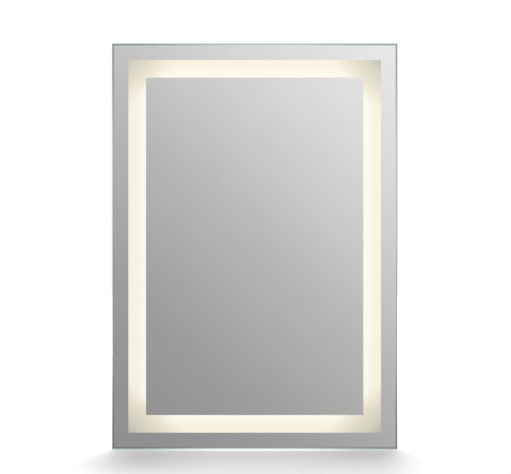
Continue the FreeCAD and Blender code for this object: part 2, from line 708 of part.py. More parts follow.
def board_plug(sx, sz, upright):
    """Connector at one end of an upright or a level light board."""
    near = BOARD_END + PLUG_STEP
    along, across = (near, near + PLUG_L), (BOARD_FACE - PLUG_H, BOARD_FACE)
    i, j = (across, along) if upright else (along, across)
    y0, y1 = Y_WIRE - PLUG_W / 2, Y_WIRE + PLUG_W / 2
    return corner_slab(sx, sz, i[0], i[1], j[0], j[1], y0, y1)


def board_plugs():
    """All the board connectors, the feed's own first."""
    plugs = [board_plug(-1, 1, True)]
    for sx, sz in JUMPED_CORNERS:
        plugs += [board_plug(sx, sz, True), board_plug(sx, sz, False)]
    return Part.makeCompound(plugs)


def jumpers():
    """Wire pairs that join the boards round three corners."""
    end, line = BOARD_END + PLUG_STEP, BOARD_FACE - PLUG_WIRE_H
    tubes = []
    for sx, sz in JUMPED_CORNERS:
        for y in (Y_WIRE - JUMPER_PAIR / 2, Y_WIRE + JUMPER_PAIR / 2):
            points = [Vector(sx * (HALF_W - i), y, Z_MID + sz * (HALF_H - j))
                      for i, j in ((end, line), (line, line), (line, end))]
            tubes.append(wire_tube(points, JUMPER_R))
    return Part.makeCompound(tubes)


def liner(side):
    """White reflector sheet, flat on the panel and sloping up to the frame."""
    rear, t = Y_PANEL_FRONT, LINER_T
    tip_i = FRAME_INSET + BOND_FLANGE_W - LINER_TIP_INSET
    tip_y = Y_FRAME_FRONT + FRAME_WALL
    end = BOARD_FACE - LINER_CLEAR
    slope = math.hypot(LINER_FLAT_START - tip_i, rear - tip_y)
    lean = (LINER_FLAT_START - tip_i) / (rear - tip_y)
    skin = t * slope / (rear - tip_y)
    section = [(end, rear), (LINER_FLAT_START, rear), (tip_i, tip_y), (tip_i + skin, tip_y),
               (LINER_FLAT_START + skin - t * lean, rear - t), (end, rear - t)]
    return mitred(section, side)


# --------------------------------------------------------------- wall cleat
def wall_rail():
    """Lower half of the cleat: wall plate, web and upturned lip."""
    y_lip = -(3 * CLEAT_T + 2 * SLIDE_GAP)
    x = RAIL_L / 2
    plate = rounded_plate(-x, x, -CLEAT_T, 0, -WALL_PLATE_DROP, WALL_PLATE_RISE, RAIL_CORNER_R)
    web = slab(-x, x, y_lip, 0, WALL_PLATE_RISE - CLEAT_T, WALL_PLATE_RISE)
    lip = slab(-x, x, y_lip, y_lip + CLEAT_T, WALL_PLATE_RISE - CLEAT_T,
               WALL_PLATE_RISE + WALL_LIP_H)
    holes = [rod_y(sx * span / 2, 0, WALL_HOLE_R, -CLEAT_T, 0)
             for sx in (-1, 1) for span in (WALL_HOLE_OUTER, WALL_HOLE_INNER)]
    return drilled(fused([plate, web, lip]), holes)


def hanger_rail():
    """Upper half of the cleat: panel plate, web that bears on the lip, hook."""
    z0 = WALL_PLATE_RISE + WALL_LIP_H
    y_hook = -(CLEAT_T + SLIDE_GAP)
    x = RAIL_L / 2
    plate = slab(-x, x, Y_PANEL_REAR, Y_PANEL_REAR + CLEAT_T, z0, z0 + HANGER_PLATE_H)
    web = slab(-x, x, Y_PANEL_REAR, y_hook, z0, z0 + CLEAT_T)
    hook = slab(-x, x, y_hook - CLEAT_T, y_hook, z0 - HANGER_LIP_H, z0 + CLEAT_T)
    holes = [rod_y(px, pz, RIVET_R + HOLE_EASE, Y_PANEL_REAR, Y_PANEL_REAR + CLEAT_T)
             for px, pz in hanger_rivet_spots()]
    return drilled(fused([plate, web, hook]), holes)


def wall_bumpers():
    """Rubber bumpers that keep the lower corners off the wall."""
    return Part.makeCompound([
        cone_y(sx * (HALF_W - BUMPER_INSET), Z_BOT + BUMPER_RISE, BUMPER_R, BUMPER_TIP_R, Y_PANEL_REAR, 0)
        for sx in (-1, 1)])


# --------------------------------------------------------- wiring compartment
def wiring_box():
    """Open-backed steel box with a flange that is riveted behind the panel."""
    x, z, t = BOX_W / 2, BOX_H / 2, BOX_T
    front = Y_BOX_FLOOR - t
    shell = slab(-x, x, front, Y_PANEL_FRONT, Z_BOX - z, Z_BOX + z)
    room = slab(-x + t, x - t, Y_BOX_FLOOR, Y_PANEL_FRONT, Z_BOX - z + t, Z_BOX + z - t)
    brim = x + BOX_FLANGE
    flange = slab(-brim, brim, Y_PANEL_FRONT - t, Y_PANEL_FRONT, Z_BOX - z, Z_BOX + z)
    holes = [rod_y(px, pz, RIVET_R + HOLE_EASE, Y_PANEL_FRONT - t, Y_PANEL_FRONT)
             for px, pz in box_rivet_spots()]
    exit_z = Z_LEAD_OUT
    holes.append(rod(Vector(x - t, Y_WIRE, exit_z), Vector(x, Y_WIRE, exit_z),
                     GROMMET_R + HOLE_EASE))
    holes.append(rod_y(X_EARTH, Z_EARTH, EARTH_SCREW_R + HOLE_EASE,
                       front, Y_BOX_FLOOR))
    return drilled(fused([shell, flange]), [room] + holes)


def terminal_x(index):
    """Middle of a terminal: 0 earth, 1 neutral, 2 live."""
    return TERMINAL_PITCH * (index - 1)


def terminal(index):
    """Terminal body: lever pocket, trunnion holes, supply port and lead port."""
    x = terminal_x(index)
    half = TERMINAL_W / 2
    z1, z0 = Z_TERMINAL, Z_TERMINAL - TERMINAL_H
    body = slab(x - half, x + half, Y_BOX_FLOOR, Y_TERMINAL, z0, z1)
    upright = [e for e in body.Edges if e.BoundBox.YLength > TERMINAL_D / 2]
    body = body.makeFillet(TERMINAL_SOFT_EDGE, upright)
    pocket_half = LEVER_W / 2 + LEVER_SIDE_GAP
    pocket = slab(x - pocket_half, x + pocket_half,
                  Y_LEVER - LEVER_BARREL_R - LEVER_FLOOR_GAP, Y_TERMINAL,
                  z0, Z_LEVER + LEVER_BARREL_R + LEVER_FLOOR_GAP)
    pivot = rod(Vector(x - half, Y_LEVER, Z_LEVER), Vector(x + half, Y_LEVER, Z_LEVER),
                TRUNNION_R + TRUNNION_EASE)
    y_port = Y_BOX_FLOOR + PORT_LEVEL
    supply = rod(Vector(x, y_port, z0), Vector(x, y_port, z0 + PORT_DEPTH), PORT_R)
    lead = rod(Vector(x, y_port, z1 - LEAD_SEAT), Vector(x, y_port, z1), LEAD_R + HOLE_EASE)
    return drilled(body, [pocket, pivot, supply, lead])


def lever(index):
    """Terminal lever: barrel, trunnions and a short arm with a grip ridge."""
    x = terminal_x(index)
    half = LEVER_W / 2
    barrel = rod(Vector(x - half, Y_LEVER, Z_LEVER), Vector(x + half, Y_LEVER, Z_LEVER),
                 LEVER_BARREL_R)
    reach = half + TRUNNION_L
    trunnions = rod(Vector(x - reach, Y_LEVER, Z_LEVER), Vector(x + reach, Y_LEVER, Z_LEVER),
                    TRUNNION_R)
    y0, y1 = Y_LEVER - LEVER_T / 2, Y_LEVER + LEVER_T / 2
    arm = slab(x - half, x + half, y0, y1, Z_LEVER - LEVER_L, Z_LEVER)
    grip = slab(x - half, x + half, y1, y1 + LEVER_GRIP_H,
                Z_LEVER - LEVER_L, Z_LEVER - LEVER_L + LEVER_GRIP_L)
    return fused([barrel, trunnions, arm, grip])


def earth_screw():
    """Bonding screw in the box floor."""
    return pan_screw(X_EARTH, Z_EARTH, EARTH_SCREW_R, EARTH_SCREW_L,
                     EARTH_HEAD_R, EARTH_HEAD_T, Y_BOX_FLOOR + LUG_T)


def lug_end():
    """Point where the earth lead enters its lug."""
    reach = LUG_R + LUG_BARREL_L - LUG_T
    return Vector(X_EARTH + reach, Y_BOX_FLOOR + LUG_BARREL_R, Z_EARTH)


def earth_lug():
    """Ring lug under the bonding screw, with a barrel for its lead."""
    z = Z_EARTH
    ring = rod_y(X_EARTH, z, LUG_R, Y_BOX_FLOOR, Y_BOX_FLOOR + LUG_T)
    end = lug_end()
    barrel = rod(end - Vector(LUG_BARREL_L, 0, 0), end, LUG_BARREL_R)
    barrel = barrel.cut(rod(end - Vector(LEAD_SEAT, 0, 0), end, LEAD_R + HOLE_EASE))
    hole = rod_y(X_EARTH, z, EARTH_SCREW_R + HOLE_EASE, Y_BOX_FLOOR, Y_BOX_FLOOR + LUG_T)
    head_room = rod_y(X_EARTH, z, EARTH_HEAD_R + HOLE_EASE, Y_BOX_FLOOR + LUG_T,
                      Y_BOX_FLOOR + LUG_T + 2 * LUG_BARREL_R)
    return drilled(fused([ring, barrel]), [hole, head_room])


def lead_start(index):
    """Point inside a terminal where its lead begins."""
    return Vector(terminal_x(index), Y_BOX_FLOOR + PORT_LEVEL, Z_TERMINAL - LEAD_SEAT)


def mains_lead(index, outer):
    """Lead from a terminal through the box grommet and down to the driver.

    outer is 1 for the lead on the outside of the bends and -1 for the other.
    """
    shift = outer * LEAD_PAIR / 2
    z_out, z_in = Z_LEAD_OUT + shift, Z_DRIVER - shift
    x_run = BOX_W / 2 + LEAD_OUT + shift
    start = lead_start(index)
    points = [start, Vector(start.x, start.y, z_out),
              Vector(start.x + LEAD_BOX_STEP, Y_WIRE, z_out)]
    points += [Vector(x_run, Y_WIRE, z_out), Vector(x_run, Y_WIRE, z_in),
               Vector(DRIVER_L / 2 - CIRCUIT_CLEAR, Y_WIRE, z_in)]
    return wire_tube(points, LEAD_R)


def earth_lead():
    """Short lead from the earth terminal to its lug."""
    start = lead_start(0)
    end = lug_end() - Vector(LEAD_SEAT, 0, 0)
    points = [start, Vector(start.x, start.y, end.z),
              Vector(start.x - EARTH_LEAD_STEP, end.y, end.z), end]
    return wire_tube(points, LEAD_R)


# ------------------------------------------------------------ hinged cover
def knuckle_spans(fixed):
    """X ranges of the knuckles on the fixed leaf or on the cover."""
    width = HINGE_L / KNUCKLES
    spans = [(-HINGE_L / 2 + k * width + KNUCKLE_GAP / 2, -HINGE_L / 2 + (k + 1) * width
              - KNUCKLE_GAP / 2) for k in range(KNUCKLES)]
    return spans[0::2] if fixed else spans[1::2]


def knuckled(plate, fixed):
    """Plate with its own knuckles added and cut back round the other leaf's."""
    relief = KNUCKLE_R + KNUCKLE_RELIEF
    own = [rod(Vector(a, Y_HINGE, Z_HINGE), Vector(b, Y_HINGE, Z_HINGE), KNUCKLE_R)
           for a, b in knuckle_spans(fixed)]
    other = [slab(a - KNUCKLE_GAP, b + KNUCKLE_GAP, Y_HINGE - relief, Y_HINGE + relief,
                  Z_HINGE - relief, Z_HINGE + relief) for a, b in knuckle_spans(not fixed)]
    bore = rod(Vector(-HINGE_L, Y_HINGE, Z_HINGE), Vector(HINGE_L, Y_HINGE, Z_HINGE),
               PIN_R + PIN_EASE)
    return drilled(fused([drilled(plate, other)] + own), [bore])


def hinge_leaf():
    """Fixed leaf on the back panel, above the access hole."""
    half = HINGE_L / 2 - KNUCKLE_GAP / 2
    plate = slab(-half, half, Y_PANEL_REAR, Y_PANEL_REAR + LEAF_T, Z_HINGE, Z_HINGE + LEAF_H)
    holes = [rod_y(x, z, RIVET_R + HOLE_EASE, Y_PANEL_REAR, Y_PANEL_REAR + LEAF_T)
             for x, z in leaf_rivet_spots()]
    return drilled(knuckled(plate, True), holes)


def hinge_pin():
    """Hinge pin with a peened head at each end."""
    reach = HINGE_L / 2 + PIN_EASE
    pin = rod(Vector(-reach, Y_HINGE, Z_HINGE), Vector(reach, Y_HINGE, Z_HINGE), PIN_R)
    heads = [rod(Vector(sx * reach, Y_HINGE, Z_HINGE),
                 Vector(sx * (reach + PIN_HEAD_T), Y_HINGE, Z_HINGE), PIN_HEAD_R)
             for sx in (-1, 1)]
    return fused([pin] + heads)


def wiring_cover():
    """Cover plate with the moving knuckles, the screw hole and the knockout."""
    half = COVER_W / 2
    plate = rounded_plate(-half, half, Y_COVER_IN, Y_COVER_OUT, Z_COVER_BOT,
                          Z_HINGE - KNUCKLE_R - KNUCKLE_RELIEF, COVER_CORNER_R)
    tongue = HINGE_L / 2 - KNUCKLE_GAP / 2
    plate = fused([plate, slab(-tongue, tongue, Y_COVER_IN, Y_COVER_OUT,
                               Z_HINGE - KNUCKLE_R - KNUCKLE_RELIEF, Z_HINGE)])
    holes = [rod_y(COVER_SCREW_X, Z_COVER_BOT + COVER_SCREW_RISE, COVER_SCREW_R + HOLE_EASE,
                   Y_COVER_IN, Y_COVER_OUT),
             rod_y(0, Z_ENTRY, KNOCKOUT_R, Y_COVER_IN, Y_COVER_OUT)]
    return drilled(knuckled(plate, False), holes)


def cover_screw():
    """Captive screw that rides with the cover."""
    return pan_screw(COVER_SCREW_X, Z_COVER_BOT + COVER_SCREW_RISE, COVER_SCREW_R,
                     COVER_T + COVER_SCREW_L, COVER_HEAD_R, COVER_HEAD_T, Y_COVER_OUT)


def supply_bushing():
    """Snap bushing that lines the supply entry in the cover."""
    barrel = rod_y(0, Z_ENTRY, KNOCKOUT_R - BUSHING_EASE, Y_COVER_IN - BUSHING_REACH, Y_COVER_OUT)
    flange = rod_y(0, Z_ENTRY, BUSHING_FLANGE_R, Y_COVER_OUT, Y_COVER_OUT + BUSHING_FLANGE_T)
    lip = cone_y(0, Z_ENTRY, KNOCKOUT_R - BUSHING_EASE, BUSHING_LIP_R,
                 Y_COVER_IN - BUSHING_LIP_T - BUSHING_EASE, Y_COVER_IN - BUSHING_EASE)
    bore = rod_y(0, Z_ENTRY, BUSHING_BORE_R, Y_COVER_IN - BUSHING_REACH,
                 Y_COVER_OUT + BUSHING_FLANGE_T)
    return drilled(fused([barrel, flange, lip]), [bore])


# ------------------------------------------------------------------- driver
def driver_base():
    """Tray of the lighting driver, with ears, posts and wire holes."""
    x, z, t = DRIVER_L / 2, DRIVER_W / 2, DRIVER_WALL
    y0, y1 = Y_PANEL_FRONT - DRIVER_H + t, Y_PANEL_FRONT
    tray = rounded_plate(-x, x, y0, y1, Z_DRIVER - z, Z_DRIVER + z, DRIVER_SOFT_EDGE)
    room = slab(-x + t, x - t, y0, y1 - t, Z_DRIVER - z + t, Z_DRIVER + z - t)
    ears = [slab(sx * (x - t), sx * (x + DRIVER_EAR_L), y1 - DRIVER_EAR_T, y1,
                 Z_DRIVER - z, Z_DRIVER - z + DRIVER_EAR_H) for sx in (-1, 1)]
    tray = fused([tray] + ears).cut(room)
    inset = DRIVER_POST_R + CIRCUIT_CLEAR
    posts = [rod_y(sx * (x - t - inset), Z_DRIVER + sz * (z - t - inset), DRIVER_POST_R,
                   y1 - t - DRIVER_POST_H, y1 - t) for sx, sz in CORNERS]
    holes = [rod_y(px, pz, DRIVER_SCREW_R + HOLE_EASE, y1 - DRIVER_EAR_T, y1)
             for px, pz in driver_screw_spots()]
    holes += [rod(Vector(sx * (x - t), Y_WIRE, Z_DRIVER), Vector(sx * x, Y_WIRE, Z_DRIVER),
                  DRIVER_HOLE_R) for sx in (-1, 1)]
    return drilled(fused([tray] + posts), holes)


def driver_lid():
    """Lid that closes the driver's tray, with a locating step inside."""
    x, z, t = DRIVER_L / 2, DRIVER_W / 2, DRIVER_WALL
    y0 = Y_PANEL_FRONT - DRIVER_H
    lid = rounded_plate(-x, x, y0, y0 + t, Z_DRIVER - z, Z_DRIVER + z, DRIVER_SOFT_EDGE)
    near = t + HOLE_EASE
    step = slab(-x + near, x - near, y0 + t, y0 + 2 * t, Z_DRIVER - z + near, Z_DRIVER + z - near)
    hollow = slab(-x + near + t, x - near - t, y0 + t, y0 + 2 * t,
                  Z_DRIVER - z + near + t, Z_DRIVER + z - near - t)
    return fused([lid, step.cut(hollow)])


def driver_board():
    """Circuit board with its end connectors, as one loaded assembly."""
    x, z = DRIVER_L / 2 - DRIVER_WALL, DRIVER_W / 2 - DRIVER_WALL
    y1 = Y_PANEL_FRONT - DRIVER_WALL - DRIVER_POST_H
    y0 = y1 - CIRCUIT_T
    board = slab(-x + CIRCUIT_CLEAR, x - CIRCUIT_CLEAR, y0, y1,
                 Z_DRIVER - z + CIRCUIT_CLEAR, Z_DRIVER + z - CIRCUIT_CLEAR)
    face = DRIVER_L / 2 - CIRCUIT_CLEAR
    plugs = [slab(sx * face, sx * (face - CIRCUIT_PLUG_L), y0 - CIRCUIT_PLUG_H, y0,
                  Z_DRIVER - CIRCUIT_PLUG_W / 2, Z_DRIVER + CIRCUIT_PLUG_W / 2) for sx in (-1, 1)]
    return fused([board] + plugs)


def driver_parts():
    """Transformer, capacitors and choke on the driver's board."""
    y = Y_PANEL_FRONT - DRIVER_WALL - DRIVER_POST_H - CIRCUIT_T
    core = slab(CORE_X - CORE_L / 2, CORE_X + CORE_L / 2, y - CORE_H, y,
                Z_DRIVER - CORE_W / 2, Z_DRIVER + CORE_W / 2)
    caps = [rod(Vector(CAP_X - CAP_L / 2, y - CAP_R, Z_DRIVER + dz),
                Vector(CAP_X + CAP_L / 2, y - CAP_R, Z_DRIVER + dz), CAP_R)
            for dz in pitched(2, CAP_PITCH)]
    choke = rod_y(-CHOKE_X, Z_DRIVER, CHOKE_R, y - CHOKE_H, y)
    return Part.makeCompound([core] + caps + [choke])


def driver_screws():
    """Screws through the panel into the driver's ears."""
    return Part.makeCompound([
        pan_screw(x, z, DRIVER_SCREW_R, PANEL_T + DRIVER_EAR_T, PANEL_HEAD_R, PANEL_HEAD_T,
                  Y_PANEL_REAR) for x, z in driver_screw_spots()])


# ------------------------------------------------------------ wiring runs
def led_leads():
    """Lead pair from the driver, up the left side and into the feed connector."""
    tubes = []
    for side in (-1, 1):
        shift = side * LED_PAIR / 2
        x_run = X_LED_RUN + shift
        points = [Vector(-DRIVER_L / 2 + CIRCUIT_CLEAR, Y_WIRE, Z_DRIVER + shift),
                  Vector(x_run, Y_WIRE, Z_DRIVER + shift),
                  Vector(x_run, Y_WIRE, Z_FEED + shift),
                  Vector(-HALF_W + BOARD_FACE, Y_WIRE, Z_FEED + shift)]
        tubes.append(wire_tube(points, LED_LEAD_R))
    return Part.makeCompound(tubes)


def grommets():
    """Rubber grommets where wires pass through sheet metal."""
    exit_z, wall = Z_LEAD_OUT, BOX_W / 2
    flanges = [(wall - BOX_T - GROMMET_FLANGE_T, wall - BOX_T), (wall, wall + GROMMET_FLANGE_T)]
    big = [rod(Vector(a, Y_WIRE, exit_z), Vector(b, Y_WIRE, exit_z), GROMMET_FLANGE_R)
           for a, b in flanges]
    big.append(rod(Vector(wall - BOX_T, Y_WIRE, exit_z), Vector(wall, Y_WIRE, exit_z), GROMMET_R))
    ends = (flanges[0][0], flanges[1][1])
    box_grommet = fused(big).cut(rod(Vector(ends[0], Y_WIRE, exit_z),
                                     Vector(ends[1], Y_WIRE, exit_z), GROMMET_BORE_R))
    x = -HALF_W + CARRIER_INSET
    small_r = GROMMET_R - GROMMET_FLANGE_T
    reach = x + CARRIER_T + GROMMET_FLANGE_T
    feed_grommet = fused([
        rod(Vector(x, Y_WIRE, Z_FEED), Vector(x + CARRIER_T, Y_WIRE, Z_FEED), small_r),
        rod(Vector(x + CARRIER_T, Y_WIRE, Z_FEED), Vector(reach, Y_WIRE, Z_FEED), GROMMET_R)])
    feed_grommet = feed_grommet.cut(rod(Vector(x, Y_WIRE, Z_FEED), Vector(reach, Y_WIRE, Z_FEED),
                                        FEED_HOLE_R))
    return Part.makeCompound([box_grommet, feed_grommet])


def clip(x, z, upright):
    """Saddle clip stuck to the panel, round an upright or a level wire pair."""
    half = CLIP_BORE_R + CLIP_WALL
    low = Y_WIRE - half
    wide, tall = (half, CLIP_W / 2) if upright else (CLIP_W / 2, half)
    block = slab(x - wide, x + wide, low, Y_PANEL_FRONT, z - tall, z + tall)
    way = Vector(0, 0, CLIP_W / 2) if upright else Vector(CLIP_W / 2, 0, 0)
    spot = Vector(x, Y_WIRE, z)
    bore = rod(spot - way, spot + way, CLIP_BORE_R)
    half_mouth = CLIP_SLOT / 2
    if upright:
        mouth = slab(x - half_mouth, x + half_mouth, low, Y_WIRE, z - tall, z + tall)
    else:
        mouth = slab(x - wide, x + wide, low, Y_WIRE, z - half_mouth, z + half_mouth)
    return block.cut(fused([bore, mouth]))


def clips():
    """Every wire clip, halfway along the run that it holds."""
    x_led = (X_LED_RUN - DRIVER_L / 2) / 2
    x_mains = BOX_W / 2 + LEAD_OUT
    rise = (Z_FEED - Z_DRIVER) / 3
    return Part.makeCompound([
        clip(x_led, Z_DRIVER, False),
        clip(X_LED_RUN, Z_DRIVER + rise, True),
        clip(X_LED_RUN, Z_DRIVER + 2 * rise, True),
        clip(x_mains, (Z_LEAD_OUT + Z_DRIVER) / 2, True)])


def rivets(spots, y_head, y_tail):
    """Rivets at every spot."""
    return Part.makeCompound([rivet(x, z, y_head, y_tail) for x, z in spots])


# ---------------------------------------------------------------- assembly
def build():
    """Every piece of the mirror, by name."""
    pieces = {"mirror_glass": glass_pane()}
    pieces.update(coatings())
    pieces["frame_tape"] = tape(FRAME_INSET, BOND_FLANGE_W)
    pieces["carrier_tape"] = tape(CARRIER_INSET, CARRIER_FLANGE_W)
    for side in SIDES:
        pieces["frame_" + side] = frame_bar(side)
        pieces["light_carrier_" + side] = carrier(side)
        pieces["light_board_" + side] = light_board(side)
    pieces["light_chips"] = Part.makeCompound([c for side in SIDES for c in light_chips(side)])
    pieces["board_plugs"] = board_plugs()
    pieces["board_jumpers"] = jumpers()
    pieces["reflector_liners"] = Part.makeCompound([liner(side) for side in SIDES])
    pieces["corner_keys"] = Part.makeCompound([corner_key(sx, sz) for sx, sz in CORNERS])
    pieces["corner_key_screws"] = key_screws()
    pieces["back_panel"] = back_panel()
    pieces["panel_screws"] = panel_screws()
    spots = [spot for side in SIDES for spot in carrier_rivet_spots(side)]
    pieces["carrier_rivets"] = rivets(spots, Y_PANEL_REAR, Y_PANEL_FRONT - CARRIER_T)
    pieces["wall_rail"] = wall_rail()
    pieces["hanger_rail"] = hanger_rail()
    pieces["hanger_rivets"] = rivets(hanger_rivet_spots(), Y_PANEL_REAR + CLEAT_T, Y_PANEL_FRONT)
    pieces["wall_bumpers"] = wall_bumpers()
    pieces["wiring_box"] = wiring_box()
    pieces["box_rivets"] = rivets(box_rivet_spots(), Y_PANEL_REAR, Y_PANEL_FRONT - BOX_T)
    pieces["terminals"] = Part.makeCompound([terminal(k) for k in range(3)])
    pieces["lever_earth"] = lever(0)
    pieces["lever_neutral"] = lever(1)
    pieces["lever_live"] = lever(2)
    pieces["earth_screw"] = earth_screw()
    pieces["earth_lug"] = earth_lug()
    pieces["earth_lead"] = earth_lead()
    pieces["neutral_lead"] = mains_lead(1, -1)
    pieces["live_lead"] = mains_lead(2, 1)
    pieces["hinge_leaf"] = hinge_leaf()
    pieces["hinge_rivets"] = rivets(leaf_rivet_spots(), Y_PANEL_REAR + LEAF_T, Y_PANEL_FRONT)
    pieces["hinge_pin"] = hinge_pin()
    pieces["wiring_cover"] = wiring_cover()
    pieces["cover_screw"] = cover_screw()
    pieces["supply_bushing"] = supply_bushing()
    pieces["driver_base"] = driver_base()
    pieces["driver_lid"] = driver_lid()
    pieces["driver_board"] = driver_board()
    pieces["driver_parts"] = driver_parts()
    pieces["driver_screws"] = driver_screws()
    pieces["led_leads"] = led_leads()
    pieces["grommets"] = grommets()
    pieces["wire_clips"] = clips()
    return pieces


def main():
    """Writes one file for each piece."""
    os.makedirs("parts", exist_ok=True)
    for name, shape in build().items():
        box = shape.BoundBox
        print("%-20s solids %3d valid %s volume %.1f box %.2f %.2f %.2f / %.2f %.2f %.2f" % (
            name, len(shape.Solids), shape.isValid(), shape.Volume,
            box.XMin, box.YMin, box.ZMin, box.XMax, box.YMax, box.ZMax))
        shape.exportStep("parts/%s.step" % name)


main()
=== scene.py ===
"""Dressed model of a lighted bathroom mirror, with its studio floor, light and camera."""
import logging
import math
from dataclasses import dataclass, field
from enum import Enum
from typing import Mapping, Sequence

import bmesh
import bpy
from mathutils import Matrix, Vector


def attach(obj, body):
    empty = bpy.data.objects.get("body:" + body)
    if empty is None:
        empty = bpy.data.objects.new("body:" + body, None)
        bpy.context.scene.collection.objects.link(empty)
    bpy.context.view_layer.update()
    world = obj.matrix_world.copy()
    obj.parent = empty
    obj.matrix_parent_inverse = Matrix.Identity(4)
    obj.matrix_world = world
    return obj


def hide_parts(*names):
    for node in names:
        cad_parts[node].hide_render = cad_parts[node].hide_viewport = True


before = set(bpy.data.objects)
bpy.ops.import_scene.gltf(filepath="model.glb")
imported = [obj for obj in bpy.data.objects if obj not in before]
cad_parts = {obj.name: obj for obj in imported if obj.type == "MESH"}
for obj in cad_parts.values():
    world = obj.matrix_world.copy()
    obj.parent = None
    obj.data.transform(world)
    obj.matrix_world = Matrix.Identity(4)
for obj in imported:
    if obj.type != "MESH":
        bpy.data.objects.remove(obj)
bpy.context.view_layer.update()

logger = logging.getLogger("lighted_mirror")

Socket = bpy.types.NodeSocket
Colour = tuple[float, float, float]
Point = tuple[float, float, float]
Reach = tuple[float, float]
Screen = tuple[int, int, int]

MM = 0.001
PANE_HALF_W = 354.0 * MM
PANE_HALF_H = 503.25 * MM
PANE_MIDDLE = -333.25 * MM
PANE_FRONT = -44.5 * MM
CORNER_SHADE: Reach = (20.0 * MM, 290.0 * MM)
NOISE_REACH: Reach = (0.3, 0.7)
FULL_REACH: Reach = (0.0, 1.0)
WHITE: Colour = (1.0, 1.0, 1.0)
BLACK: Colour = (0.0, 0.0, 0.0)
CORNER_STEPS = 4
RING_PARTS = 48


def tone(screen: Screen) -> Colour:
    """Turn a colour as it shows on screen into light values, by the standard curve.

    Args:
        screen: Red, green and blue from 0 to 255.

    Returns:
        The same colour as three light values from 0 to 1.
    """
    def one(value: int) -> float:
        """Turn one screen value into a light value."""
        share = value / 255
        return share / 12.92 if share <= 0.04045 else ((share + 0.055) / 1.055) ** 2.4

    return tuple(one(value) for value in screen)


def shade(colour: Colour, share: float) -> Colour:
    """Return a share of a colour's light."""
    return tuple(share * value for value in colour)


def tinted(colour: Colour, tint: Colour) -> Colour:
    """Return a colour with each of its values scaled."""
    return tuple(value * share for value, share in zip(colour, tint))


def placed(name: str, data: bpy.types.ID) -> bpy.types.Object:
    """Put a new object into the scene.

    Args:
        name: Name of the object.
        data: Mesh, lamp or camera that it holds.

    Returns:
        The new object.
    """
    made = bpy.data.objects.new(name, data)
    bpy.context.scene.collection.objects.link(made)
    return made


class Grain(Enum):
    """Direction in which a drawn or rolled surface is streaked."""

    LEVEL = (0.02, 1.0, 1.0)
    UPRIGHT = (1.0, 1.0, 0.02)
    EVEN = (1.0, 1.0, 1.0)


